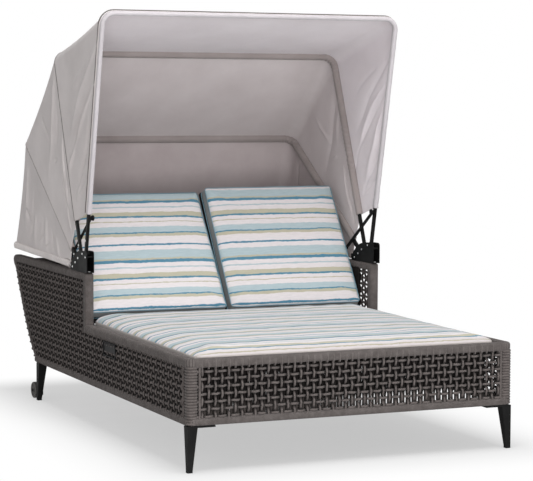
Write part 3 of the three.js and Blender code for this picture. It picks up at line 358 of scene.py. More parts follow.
# Bands of the striped cloth, from the top of a cushion down: colour and width in millimetres
WHITE = (212, 206, 207)
AQUA = (166, 182, 187)
KHAKI = (176, 172, 152)
BLUE = (72, 124, 148)
BANDS = [
    (AQUA, 39), (KHAKI, 8), (BLUE, 14), (WHITE, 20), (AQUA, 7), (WHITE, 23), (KHAKI, 22), (BLUE, 8),
    (WHITE, 18), (KHAKI, 4), (WHITE, 23), (AQUA, 28), (BLUE, 6), (KHAKI, 15), (WHITE, 38), (BLUE, 8),
    (WHITE, 23),
]
REPEAT = sum(width for tone, width in BANDS) / 1000


def striped_cloth(name, start, stretch, dye_and_shade_low, dye_and_shade_high, near_edge=None):
    """Woven cloth with painterly stripes across, which run down the cushion from start, in metres. The depth
    of the dyeing varies at random between two levels, and the levels themselves are painted light and shade,
    lower for a cushion in shade. The cloth is greyer within a few centimetres of near_edge, painted shade
    that tones down the lit front roll."""
    s = Shader(name, roughness=0.92, sheen=0.12)
    at = s.parts("UV")["Y"]
    wobble = s.calc(s.calc(s.noise(9, 3, 0.6, "UV", (1, 2.5, 1)), 0.5, "SUBTRACT"), 0.011, "MULTIPLY")
    edge = s.calc(s.calc(s.noise(120, 3, 0.7, "UV", (0.35, 1, 1)), 0.5, "SUBTRACT"), 0.0070, "MULTIPLY")
    down = s.calc(s.calc(s.calc(start, s.calc(at, stretch, "DIVIDE"), "SUBTRACT"), wobble), edge)
    share = s.calc(s.calc(down, REPEAT, "DIVIDE"), 1.0, "FLOORED_MODULO")
    stops, at_width = [], 0.0
    for tone, width in BANDS:
        stops.append((at_width / (REPEAT * 1000), tone))
        at_width += width
    stripes = s.ramp(share, stops, steps=True)
    # The two levels hold painted light and shade, lower for a cushion in shade, besides the random depth of
    # the dyeing between them.
    depths = [(0.3, (dye_and_shade_low,) * 3), (0.7, (dye_and_shade_high,) * 3)]
    dye_and_shade = s.ramp(s.noise(160, 3, 0.7, "UV", (0.15, 1, 1)), depths)
    s.woven(900, s.noise(420, 3, 0.6), 0.35)
    cloth = s.mix(0.8, stripes, dye_and_shade, "MULTIPLY")
    if near_edge is not None:
        # Painted shade: the cloth is greyer towards near_edge, to tone down the lit front roll.
        inward = s.fade(at, near_edge + 0.004, near_edge + 0.044, interpolation_type="SMOOTHSTEP")
        grey = s.ramp(inward, [(0.0, (226, 224, 223)), (1.0, (255, 255, 255))])
        cloth = s.mix(1.0, cloth, grey, "MULTIPLY")
    return s.paint(cloth)


def plain_cloth(name, dark, pale, threads=700):
    """Plain woven cloth with a fine cross weave and soft changes of tone."""
    s = Shader(name, roughness=0.93, sheen=0.15)
    s.woven(threads, s.noise(300, 4, 0.65), 0.3)
    return s.paint(s.ramp(s.noise(5, 5, 0.6), [(0.3, dark), (0.72, pale)]))


def gathered_cloth(name, dark, pale):
    """Plain cloth in close gathers, shaded down in the grooves between them."""
    s = Shader(name, roughness=0.93, sheen=0.1)
    s.bump(s.noise(420, 4, 0.65), 0.0004, 0.3)
    groove_shade = s.rise([(0.05, (188, 184, 182)), (0.6, (255, 255, 255))])
    return s.paint(s.mix(1.0, s.ramp(s.noise(9, 4, 0.6), [(0.3, dark), (0.72, pale)]), groove_shade, "MULTIPLY"))


ROPE = rope_material("rope_warm_grey", (82, 76, 74), (102, 95, 93))
WOUND = rope_material("rope_wound", (86, 80, 78), (105, 99, 97))
SHADED_INNER_ROPE = shaded_inner_rope_material()
BLACK = powder_coat("black_coat", (12, 12, 12), (22, 22, 22), 0.6)
BOW_BLACK = powder_coat("bow_coat", (14, 13, 13), (26, 25, 25), 0.55)
TUBE = powder_coat("tube_coat", (26, 25, 25), (40, 38, 38), 0.55)
STEEL = grained("bright_steel", (176, 177, 178), (226, 226, 224), (260, 3), (60, 3), 0.0002, 0.3,
                (1, 8, 1), roughness=0.28, metallic=1.0)
PLASTIC = grained("black_plastic", (16, 16, 17), (27, 27, 28), (1100, 2), (24, 4), 0.0002, 0.5,
                  roughness=0.55, specular=0.06)
HANDLE_GREY = grained("handle_grey", (25, 24, 25), (36, 35, 36), (1100, 2), (24, 4), 0.0002, 0.5,
                      roughness=0.5, specular=0.06)
TYRE = grained("grey_tyre", (62, 60, 59), (86, 84, 81), (500, 3), (70, 4), 0.0004, 0.5, roughness=0.75)
# Lit and shaded copies of one striped cloth: the backs' lower levels are painted shade for the shade under
# the canopy, and the seat's cloth darkens towards its front edge as painted shade.
SEAT_STRIPES = striped_cloth("seat_stripes", 0.213, 1.056, 242, 255, -0.599)
SHADED_BACK_STRIPES = {"right": striped_cloth("right_back_stripes_painted_shade", 0.2865, 1.020, 220, 238),
                "left": striped_cloth("left_back_stripes_painted_shade", 0.295, 1.055, 230, 248)}
SEAT_BOXING = plain_cloth("seat_boxing", (160, 153, 149), (176, 169, 165), 900)
# The backs' boxing is a cooler cloth than the seat's, and part of its darkness is painted shade for the shade
# under the canopy.
SHADED_BACK_BOXING = plain_cloth("back_boxing_painted_shade", (112, 116, 117), (134, 137, 137), 900)
PIPING = plain_cloth("cushion_piping", (92, 124, 136), (114, 144, 156), 900)
# Lit and shaded copies of the canopy's inner face: the roof's paler tone is painted light for light coming
# through the cloth, and the slope's and the back's darker tones are painted shade deeper inside the canopy.
LIT_AND_SHADED_LININGS = {
    "roof": plain_cloth("roof_lining_painted_light", (216, 208, 211), (225, 218, 221)),
    "slope": plain_cloth("slope_lining_painted_shade", (188, 179, 179), (199, 191, 191)),
    "back": plain_cloth("back_lining_painted_shade", (168, 157, 157), (180, 170, 170)),
}
CANOPY = plain_cloth("canopy_cloth", (198, 191, 190), (212, 205, 204))
SLEEVE = plain_cloth("canopy_sleeve", (174, 169, 172), (188, 183, 186))
# Darker than the canopy cloth: painted shade for the double layer of cloth, which lets less light through.
SHADED_BAND = plain_cloth("canopy_band_painted_shade", (134, 125, 123), (148, 139, 137))
HEM_CLOTH = gathered_cloth("canopy_hem_cloth", (200, 194, 192), (216, 210, 208))
SEAM = plain_cloth("canopy_seam", (88, 82, 80), (108, 102, 100))
SOFT_SEAM = plain_cloth("canopy_soft_seam", (150, 143, 142), (166, 159, 157))


# Paths and sections
def unit(vectors):
    return vectors / np.maximum(np.linalg.norm(vectors, axis=-1, keepdims=True), 1e-12)


def lengths(path):
    """The length gone at each point of a path."""
    return np.concatenate([[0], np.cumsum(np.linalg.norm(np.diff(path, axis=0), axis=1))])


def read_off(at, gone, values):
    """The places, of three coordinates each, at the given lengths along a path."""
    return np.stack([np.interp(at, gone, values[:, axis]) for axis in range(3)], 1)


def resample(path, step):
    """Points along a path about one step apart, and the length at each."""
    path = np.asarray(path, float)
    gone = lengths(path)
    at = np.linspace(0, gone[-1], max(2, int(round(gone[-1] / step)) + 1))
    return read_off(at, gone, path), at


def fine(path, step=PATH_STEP):
    return resample(path, step)[0]


def upright(x, y, low, high, step=PATH_STEP):
    return fine([place(x, y, low), place(x, y, high)], step)


def bezier(share, start, middle, end):
    return (1 - share) ** 2 * start + 2 * share * (1 - share) * middle + share ** 2 * end


def corner_path(points, radius, steps=8):
    """A path through points with its inner corners rounded."""
    points = [np.array(p, float) for p in points]
    path = [points[0]]
    for before, corner, after in zip(points, points[1:], points[2:]):
        start, end = corner + unit(before - corner) * radius, corner + unit(after - corner) * radius
        path += [bezier(i / steps, start, corner, end) for i in range(steps + 1)]
    path.append(points[-1])
    return np.array(path)


def circles(path, along, side, radius, sides):
    """Circles of points round a path that runs along the given directions."""
    one = unit(np.cross(along, side))
    two = np.cross(one, along)
    angles = np.arange(sides) * (2 * math.pi / sides)
    ring = np.cos(angles)[None, :, None] * one[:, None] + np.sin(angles)[None, :, None] * two[:, None]
    return path[:, None] + np.asarray(radius).reshape(-1, 1, 1) * ring


def rope_rings(path, radius, side, sides=6):
    """Rings round a path; side is a direction that never runs along it."""
    path = np.asarray(path, float)
    return circles(path, unit(np.gradient(path, axis=0)), side, radius, sides)


def rounded_section(half_a, half_b, radius, steps=3):
    """Points and outward directions round a rectangle with rounded corners, counter-clockwise."""
    points, normals = [], []
    for corner, (sign_a, sign_b) in enumerate(((1, 1), (-1, 1), (-1, -1), (1, -1))):
        for i in range(steps + 1):
            angle = (corner + i / steps) * math.pi / 2
            way = (math.cos(angle), math.sin(angle))
            middle = (sign_a * (half_a - radius), sign_b * (half_b - radius))
            points.append((middle[0] + radius * way[0], middle[1] + radius * way[1]))
            normals.append(way)
    return np.array(points), np.array(normals)


def round_edge(rows, columns):
    """The walk round a grid's edge, as (row, column)."""
    walk = [(i, 0) for i in range(rows - 1)] + [(rows - 1, j) for j in range(columns - 1)]
    walk += [(i, columns - 1) for i in range(rows - 1, 0, -1)]
    return walk + [(0, j) for j in range(columns - 1, 0, -1)]


# Meshes
class Skin:
    """Collects rings of points into one mesh, with coordinates along and round them in metres."""

    def __init__(self):
        self.points = []
        self.loops = []
        self.sizes = []
        self.uvs = []
        self.rises = []
        self.count = 0

    def add(self, points):
        """Takes up more points and returns the number of the first."""
        first = self.count
        self.points.append(points.reshape(-1, 3))
        self.count += len(self.points[-1])
        return first

    def face(self, corners, places):
        self.loops.extend(corners)
        self.uvs.extend(places)
        self.sizes.append(len(corners))

    def quads(self, corners, places):
        """corners holds four arrays of point numbers and places four of coordinates, in turn."""
        self.loops.extend(np.stack(corners, 1).ravel().tolist())
        self.uvs.extend(np.stack(places, 1).reshape(-1, 2).tolist())
        self.sizes.extend([4] * len(corners[0]))

    def tube(self, rings, along=None, caps=True, rises=None):
        """A closed tube through rings, an array (rings, points, 3). rises says how open to the light each
        ring or each point lies, from 0 to 1. The rope and hem materials paint shade from it."""
        rings = np.asarray(rings, float)
        n, m = rings.shape[:2]
        rises = np.ones(n) if rises is None else np.asarray(rises)
        self.rises.append(rises.ravel() if rises.ndim == 2 else np.repeat(rises, m))
        if along is None:
            along = lengths(rings.mean(1))
        step = np.linalg.norm(np.roll(rings[n // 2], -1, 0) - rings[n // 2], axis=1)
        around = np.concatenate([[0], np.cumsum(step)])
        first = self.add(rings)
        i, j = (part.ravel() for part in np.meshgrid(np.arange(n - 1), np.arange(m), indexing="ij"))
        k = (j + 1) % m
        corners = [first + a * m + b for a, b in ((i, j), (i, k), (i + 1, k), (i + 1, j))]
        spots = ((i, j), (i, j + 1), (i + 1, j + 1), (i + 1, j))
        self.quads(corners, [np.stack([along[a], around[b]], 1) for a, b in spots])
        if caps:
            for ring, turn, at in ((0, -1, along[0]), (n - 1, 1, along[-1])):
                ends = [first + ring * m + index for index in range(m)][::turn]
                self.face(ends, [(at, around[index]) for index in range(m)])

    def grid(self, points, uv):
        """A sheet through an array of points (rows, columns, 3) with its own uv (rows, columns, 2)."""
        n, m = points.shape[:2]
        first = self.add(points)
        i, j = (part.ravel() for part in np.meshgrid(np.arange(n - 1), np.arange(m - 1), indexing="ij"))
        spots = ((i, j), (i + 1, j), (i + 1, j + 1), (i, j + 1))
        self.quads([first + a * m + b for a, b in spots], [uv[spot] for spot in spots])
        return first

    def object(self, name, materials, body, slot_name, second=slice(0)):
        """The mesh as an object on a body. The faces of the slice second take the second material."""
        points = np.concatenate(self.points)
        mesh = bpy.data.meshes.new(name)
        mesh.vertices.add(len(points))
        mesh.vertices.foreach_set("co", points.astype(np.float32).ravel())
        mesh.loops.add(len(self.loops))
        mesh.loops.foreach_set("vertex_index", np.array(self.loops, np.int32))
        mesh.polygons.add(len(self.sizes))
        starts = np.concatenate([[0], np.cumsum(self.sizes)[:-1]])
        mesh.polygons.foreach_set("loop_start", starts.astype(np.int32))
        mesh.update(calc_edges=True)
        mesh.validate()
        mesh.uv_layers.new(name="UVMap").data.foreach_set("uv", np.array(self.uvs, np.float32).ravel())
        # The rise attribute carries painted shade to the rope and hem materials.
        if self.rises and sum(map(len, self.rises)) == len(points):
            rise = mesh.attributes.new("rise", "FLOAT", "POINT")
            rise.data.foreach_set("value", np.concatenate(self.rises).astype(np.float32))
        mesh.polygons.foreach_set("use_smooth", np.ones(len(self.sizes), bool))
        for material in materials:
            mesh.materials.append(material)
        numbers = np.zeros(len(self.sizes), np.int32)
        numbers[second] = 1
        mesh.polygons.foreach_set("material_index", numbers)
        made = bpy.data.objects.new(name, mesh)
        scene.collection.objects.link(made)
        if body:
            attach(made, body)
        return made


# Where a rope's turn is cut across: the valley between turns and three places on its round back
TURN_PLACES = np.array([0.0, 0.22, 0.5, 0.78])
TURN_HEIGHTS = (0.0, 0.8, 1.0, 0.8)
LOOSE = 0.15


def wound_rail(skin, path, across, half_a, half_b, radius, pitch=WRAP, bulge=BULGE, thin=None):
    """A rail wound with rope. across is the direction of half_a; the rope's turns stand out by bulge.
    thin gives the share of the full section at each point of the path."""
    gone = lengths(path)
    turns = max(2, int(round(gone[-1] / pitch)))
    at = np.append((np.arange(turns)[:, None] + TURN_PLACES) / turns * gone[-1], gone[-1])
    height = np.append(np.tile(TURN_HEIGHTS, turns), 0.0)
    centre = read_off(at, gone, path)
    way = unit(read_off(at, gone, unit(np.gradient(path, axis=0))))
    a_axis = np.broadcast_to(np.asarray(across, float), centre.shape)
    b_axis = unit(np.cross(way, a_axis))
    points, normals = rounded_section(half_a, half_b, radius)
    loose = rng.normal(0, 0.12, len(at)) * height
    out = (bulge * (height * (1 - LOOSE) + LOOSE * loose))[:, None, None]
    flat = points[None] + normals[None] * out - normals[None] * bulge
    if thin is not None:
        flat = flat * np.interp(at, gone, thin)[:, None, None]
    rings = centre[:, None] + flat[..., :1] * a_axis[:, None] + flat[..., 1:] * b_axis[:, None]
    # Painted shade: the rise is low in the valleys between turns.
    skin.tube(rings, at, rises=0.45 + 0.55 * height)


# Rear edge of the base
def rear_point(share, inset=0.0):
    """A place on the rear edge, from its foot at 0 to the knee at 1, set in by inset."""
    (y0, z0), (y1, z1), (y2, z2) = REAR_CURVE
    dy = 2 * (1 - share) * (y1 - y0) + 2 * share * (y2 - y1)
    dz = 2 * (1 - share) * (z1 - z0) + 2 * share * (z2 - z1)
    size = math.hypot(dy, dz)
    return bezier(share, y0, y1, y2) - inset * dz / size, bezier(share, z0, z1, z2) + inset * dy / size


REAR_TABLE = np.array([rear_point(share) for share in np.linspace(0, 1, 60)])
KNEE_SLOPE = (REAR_TABLE[-1] - REAR_TABLE[-2]) / (REAR_TABLE[-1, 1] - REAR_TABLE[-2, 1])


def rear_y(z):
    """How far back the rear edge is at a height."""
    beyond = REAR_TABLE[-1, 0] + (z - REAR_TABLE[-1, 1]) * KNEE_SLOPE[0]
    return np.where(z > REAR_TABLE[-1, 1], beyond, np.interp(z, REAR_TABLE[:, 1], REAR_TABLE[:, 0]))


def rear_z(y):
    """How high the rear edge is at a place, for what stands behind the base's foot."""
    return np.interp(y, REAR_TABLE[:, 0], REAR_TABLE[:, 1])


# Wound frames
def rim_frame():
    """The low rim round three sides and the foot rail under it, each wound across."""
    skin = Skin()
    x = HALF - DEPTH / 2
    rim = (RIM_TOP - RIM / 2, RIM, ARM_FRONT + ARM_POST / 2)
    foot = (BASE_LOW + FOOT_RAIL / 2, FOOT_RAIL, BASE_LENGTH)
    for z, high, start in (rim, foot):
        corners = [place(-x, start, z), place(-x, DEPTH / 2, z), place(x, DEPTH / 2, z), place(x, start, z)]
        wound_rail(skin, fine(corner_path(corners, RIM_TURN)), UP, high / 2, DEPTH / 2, RAIL_ROUND)
    made = skin.object("rim_frame", [WOUND], "base", "rope_frame")
    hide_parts("front_frame")


def tie(skin, out_way, at, low, high, over):
    """One rope laid over a rail's outer face, from low to high, and turned in over its edge."""
    depth = TIE_OUT - TIE
    path = [(depth - TIE_START, low - TIE_START), (depth, low + TIE_START), (depth, high - TIE_BEND)]
    for turn in (30, 60, 90):
        angle = math.radians(turn)
        path.append((depth - TIE_BEND * (1 - math.cos(angle)), high - TIE_BEND + TIE_BEND * math.sin(angle)))
    path.append((-over, high))
    points = [np.array(at) + np.array(out_way) * out + np.array((0, 0, z)) for out, z in path]
    strand(skin, fine(points, 0.006), TIE, np.cross(out_way, UP), 6)


def rail_ties():
    """Where the upright ropes go round the rim, a little proud of its fine winding."""
    skin = Skin()
    low, top, over = RIM_TOP - RIM, RIM_TOP - TIE - SLACK, DEPTH * 0.8
    for x in crossings(POST - HALF, HALF - POST, PITCH_ACROSS)[0]:
        tie(skin, (0, -1, 0), place(x + rng.normal(0, TIE_STRAY), 0, 0), low, top, over)
    for y in crossings(SIDE_START, ARM_FRONT, PITCH_ACROSS)[0]:
        for sign in (-1, 1):
            at = place(sign * HALF, y + rng.normal(0, TIE_STRAY), 0)
            tie(skin, (sign, 0, 0), at, low, top, over)
    skin.object("rim_ties", [WOUND], "base", "weave")


def corner_posts():
    """Coarse turns round the two front corners, and a rope that stands at each inner edge."""
    skin = Skin()
    low, high = BASE_LOW + 0.004, RIM_TOP - RIM + 0.006
    half_width = POST / 2 - 0.0017
    for sign in (-1, 1):
        path = upright(sign * (HALF - POST / 2 - 0.0012), CORNER_Y, low, high)
        wound_rail(skin, path, ACROSS, half_width, CORNER_HALF_DEPTH, CORNER_ROUND, COARSE_WRAP, COARSE_BULGE)
        for inward, y in CORNER_EDGES:
            strand(skin, upright(sign * (HALF - inward), y, low, high, 0.012), ROPE_UP, ACROSS, 8)
    skin.object("corner_posts", [ROPE], "base", "rope_frame")


def stiffeners():
    """Flat wound bands behind the front weave."""
    skin = Skin()
    for sign in (-1, 1):
        path = upright(sign * STIFFENER_X, STIFFENER_Y, BASE_LOW + FOOT_RAIL / 2, RIM_TOP - RIM / 2)
        wound_rail(skin, path, ACROSS, *STIFFENER)
    # The bands take the inner layer's rope, which carries painted shade.
    skin.object("front_stiffeners", [SHADED_INNER_ROPE], "base", "rope_frame")


def arm_frame(side):
    """Front post, arm rest and leaning rear of one side, with the slim post behind the weave."""
    sign = SIDES[side]
    x = sign * (HALF - DEPTH / 2)
    skin = Skin()
    post_y = ARM_FRONT + ARM_POST / 2
    top_z = ARM_TOP - RIM / 2
    post = upright(x, post_y, RIM_TOP - RIM, ARM_TOP - 0.006)
    wound_rail(skin, post, ACROSS, DEPTH / 2, ARM_POST / 2, ARM_POST_ROUND)
    slim = upright(sign * (HALF - SLIM_POST_IN), post_y, BASE_LOW + 0.01, RIM_TOP - RIM + 0.004)
    wound_rail(skin, slim, ACROSS, SLIM_POST_HALF, ARM_POST / 2, SLIM_POST_ROUND)
    knee_y = float(rear_y(np.array(top_z))) - RIM / 2
    inner_x = x - sign * LEAN_INSET
    shares = np.linspace(1, 0.02, LEAN_STEPS)
    lean = [place(inner_x, *rear_point(share, RIM / 2 + 0.0025)) for share in shares]
    corners = [place(x, ARM_FRONT + 0.012, top_z), place(x, knee_y + 0.002, top_z), lean[1]]
    path = fine(np.concatenate([corner_path(corners, ARM_BEND - RIM / 2)[:-1], lean[1:]]))
    below = np.clip((ARM_TOP - RIM - 0.004 - path[:, 2]) / 0.03, 0, 1)
    thin = 1 - (1 - LEAN_SHRINK) * below
    wound_rail(skin, path, ACROSS, DEPTH / 2 - SLACK, RIM / 2, RAIL_ROUND, thin=thin)
    made = skin.object(f"{side}_arm_frame", [WOUND], "base", "rope_frame")
    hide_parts(f"{side}_side_frame")


def rear_frame():
    """Rails and stiles across the leaning rear."""
    skin = Skin()
    half = HALF - DEPTH - SLACK
    for share, high in REAR_RAILS:
        y, z = rear_point(share, DEPTH / 2)
        y1, z1 = rear_point(share + 0.01, DEPTH / 2)
        up = unit(np.array([0, y1 - y, z1 - z]))
        path = fine([place(-half, y, z), place(half, y, z)])
        wound_rail(skin, path, up, high / 2, DEPTH / 2 - 0.002, RAIL_ROUND)
    for sign in (-1, 1):
        x = sign * (half - RIM / 2)
        shares = np.linspace(*REAR_STILE_ENDS, LEAN_STEPS)
        path = fine([place(x, *rear_point(share, DEPTH / 2)) for share in shares])
        wound_rail(skin, path, ACROSS, RIM / 2 - 0.001, DEPTH / 2 - 0.003, 0.010)
    made = skin.object("rear_rope_frame", [WOUND], "base", "rope_frame")
    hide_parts("rear_frame")


# Woven nets. A net's surface maps (a, b, out) to a point: a along a row, b up, out to the outside.
def crossings(start, end, pitch):
    count = max(1, int(round((end - start) / pitch)))
    step = (end - start) / count
    return start + (np.arange(count) + 0.5) * step, step


def strand(skin, points, radius, side, sides, out_way=None, swing=None, shade_power=1.0):
    """A rope. In a weave it lies open where it swings out and is hidden where it dips under another. Its rise
    paints shade on the hidden parts and along its sides, deepened by a power.
    """
    thick = radius * (1 + rng.normal(0, 0.03, len(points)))
    rings = rope_rings(points, thick, side, sides)
    rises = None
    if out_way is not None:
        # Painted shade: low rise where the rope dips under another and along its sides.
        facing = ((rings - points[:, None]) * out_way[:, None]).sum(-1) / radius
        open_share = 0.5 + 0.5 * np.clip(2.0 * facing * swing[:, None] + 0.5 * np.abs(facing), -1, 1)
        rises = open_share ** shade_power
    skin.tube(rings, rises=rises)


def rows_down(low, high):
    """The heights of a net's rows, from the first one under the rail down to the foot, and their step."""
    count = int(round((high - FIRST_ROW - low) / PITCH_UP)) + 1
    return (high - FIRST_ROW - PITCH_UP * np.arange(count))[::-1], PITCH_UP


def weave(skin, surface, side_of_rows, columns, rows, column_ends, row_ends, shade_power=1.0, stout=1.0):
    """A plain weave. columns and rows are (places, step); column_ends(a) and row_ends(b) give their ends."""
    uprights = (1, columns[0], rows, column_ends, ROPE_UP, side_of_rows)
    levels = (-1, rows[0], columns, row_ends, ROPE_ACROSS, UP)
    for sign, places, (crossed, step), ends, radius, side in (uprights, levels):
        for number, at in enumerate(places):
            low, high = ends(at)
            if high - low < step:
                continue
            run = np.linspace(low, high, max(3, int(round((high - low) / step * PER_CROSS))) + 1)
            swing = sign * np.cos(math.pi * (run - crossed[0]) / step + math.pi * number)
            aside = at + rng.normal(0, ROPE_STRAY, len(run))
            spots = (aside, run) if sign > 0 else (run, aside)
            points = surface(*spots, WEAVE_SWING * swing)
            out_way = unit(surface(*spots, 0.001) - surface(*spots, 0.0))
            strand(skin, points, stout * radius, side, 8, out_way, swing, shade_power)


def inner_strands(skin, surface, side, places, ends, edge, slim_from=0.0, slim_to=0.0):
    """Close upright ropes of the inner layer. They are thick above the edge height. Below it they get slim
    from one place along the rows to another."""
    for a in places:
        low, high = ends(a)
        if high - low < 2 * PITCH_UP:
            continue
        b = np.linspace(low, high, 14)
        low_radius = np.interp(a, (slim_from, slim_to), (INNER_THICK, INNER_THIN)) if slim_to else INNER_THIN
        thick = np.where(b > edge, INNER_THICK, low_radius) * (1 + rng.normal(0, 0.05))
        path = surface(a + rng.normal(0, 0.0005, len(b)), b, 0 * b, INNER_NET_INSET)
        skin.tube(rope_rings(path, thick, side, 6))


def front_net():
    half = HALF - POST

    def surface(a, b, out, inset=NET_INSET):
        a, b, out = np.broadcast_arrays(a, b, out)
        return np.stack([a, FRONT + inset - out, b], 1)

    def inner_ends(a):
        return NET_LOW - TUCK, NET_HIGH + TUCK if a < CORNER_OPEN[0] else APRON_LOW

    skin = Skin()
    weave(skin, surface, ACROSS, crossings(-half, half, PITCH_ACROSS), rows_down(NET_LOW, NET_HIGH),
          lambda a: (NET_LOW - TUCK, NET_HIGH + TUCK), lambda b: (-half - TUCK, half + TUCK))
    made = skin.object("front_net", [ROPE], "base", "weave")
    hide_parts("front_weave")
    skin = Skin()
    places = crossings(-half, half, PITCH_ACROSS / 2)[0]
    inner_strands(skin, surface, ACROSS, places, inner_ends, APRON_LOW, -0.25, 0.10)
    # The inner layer's rope carries painted shade.
    made = skin.object("front_inner_net", [SHADED_INNER_ROPE], "base", "weave")
    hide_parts("front_weave")


def side_net(side):
    """One net over the low side and the arm: the rows run on past the arm's post and turn round its rear."""
    sign = SIDES[side]
    high = ARM_TOP - RIM

    def column_ends(a):
        top = NET_HIGH if a < ARM_FRONT + ARM_POST * 0.5 else high
        foot = NET_LOW if a < BASE_LENGTH - 0.03 else float(rear_z(a + 0.03)) + 0.012
        return foot - TUCK, top + TUCK

    def inner_ends(a):
        foot, top = column_ends(a)
        if side == "right" and a < CORNER_OPEN[1]:
            return foot, APRON_LOW
        return foot, top if a > ARM_OPEN else NET_HIGH + TUCK

    def row_ends(b):
        first = SIDE_START if b < NET_HIGH else ARM_FRONT + ARM_POST
        return first - TUCK, float(rear_y(np.array(b))) + EDGE_TURN * 0.9

    def surface(a, b, out, inset=NET_INSET):
        a, b, out = np.broadcast_arrays(a, b, out)
        turn_from = rear_y(b) - EDGE_TURN - ROPE_ACROSS
        angle = np.maximum(a - turn_from, 0) / EDGE_TURN
        along = np.where(angle > 0, turn_from + EDGE_TURN * np.sin(angle), a)
        sunk = EDGE_TURN * (1 - np.cos(angle)) - np.where(angle > 0, 0.4 * (inset - ROPE_ACROSS), 0)
        out = np.where(angle > 0, 0.3 * out, out)
        return np.stack([sign * (HALF - inset + out - sunk), along + FRONT, b], 1)

    skin = Skin()
    # The side nets get a higher power, for deeper painted shade.
    weave(skin, surface, (0, 1, 0), crossings(SIDE_START, SIDE_END, PITCH_ACROSS), rows_down(NET_LOW, high),
          column_ends, row_ends, shade_power=1.9, stout=1.1)
    made = skin.object(f"{side}_net", [ROPE], "base", "weave")
    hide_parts(f"{side}_low_weave", f"{side}_arm_weave")
    skin = Skin()
    places = crossings(SIDE_START, INNER_SIDE_END, PITCH_ACROSS / 2)[0]
    inner_strands(skin, surface, (0, 1, 0), places, inner_ends, NET_LOW)
    # The inner layer's rope carries painted shade.
    made = skin.object(f"{side}_inner_net", [SHADED_INNER_ROPE], "base", "weave")
    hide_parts(f"{side}_low_weave", f"{side}_arm_weave")


def rear_net():
    half = HALF - DEPTH - RIM
    gone = lengths(REAR_TABLE)
    low, high = 0.1 * gone[-1], 0.93 * gone[-1]

    def surface(a, b, out):
        a, b, out = np.broadcast_arrays(a, b, out)
        share = np.interp(b, gone, np.linspace(0, 1, len(gone)))
        places = np.array([rear_point(t, NET_INSET - o) for t, o in zip(share, out)])
        return np.stack([a, places[:, 0] + FRONT, places[:, 1]], 1)

    skin = Skin()
    weave(skin, surface, ACROSS, crossings(-half, half, PITCH_ACROSS), crossings(low, high, PITCH_UP),
          lambda a: (low - TUCK, high + TUCK), lambda b: (-half - TUCK, half + TUCK))
    made = skin.object("rear_net", [ROPE], "base", "weave")
    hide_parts("rear_weave")


# Cushions
def rolled(distance, width):
    """The height of a rounded edge, from 0 at the edge to 1 from its width inwards."""
    share = 1 - np.clip(distance / width, 0, 1)
    return (1 - share ** ROLL_POWER) ** (1 / ROLL_POWER)


def rumple(a, b, waves):
    """Low soft lumps from a few waves across the cushion."""
    total = np.zeros_like(a)
    for _ in range(waves):
        turn, phase, size = rng.uniform(0, math.pi), rng.uniform(0, 2 * math.pi), rng.uniform(18, 60)
        total += np.sin((a * math.cos(turn) + b * math.sin(turn)) * size + phase)
    return total / waves ** 0.5


def drawn_in(at, half, corner, over, other):
    """Places along one axis of a cushion, drawn in where both axes are within a rounded corner."""
    reach = np.minimum(np.abs(at), half - corner) + corner * over * np.sqrt(1 - other ** 2 / 2)
    return np.sign(at) * reach


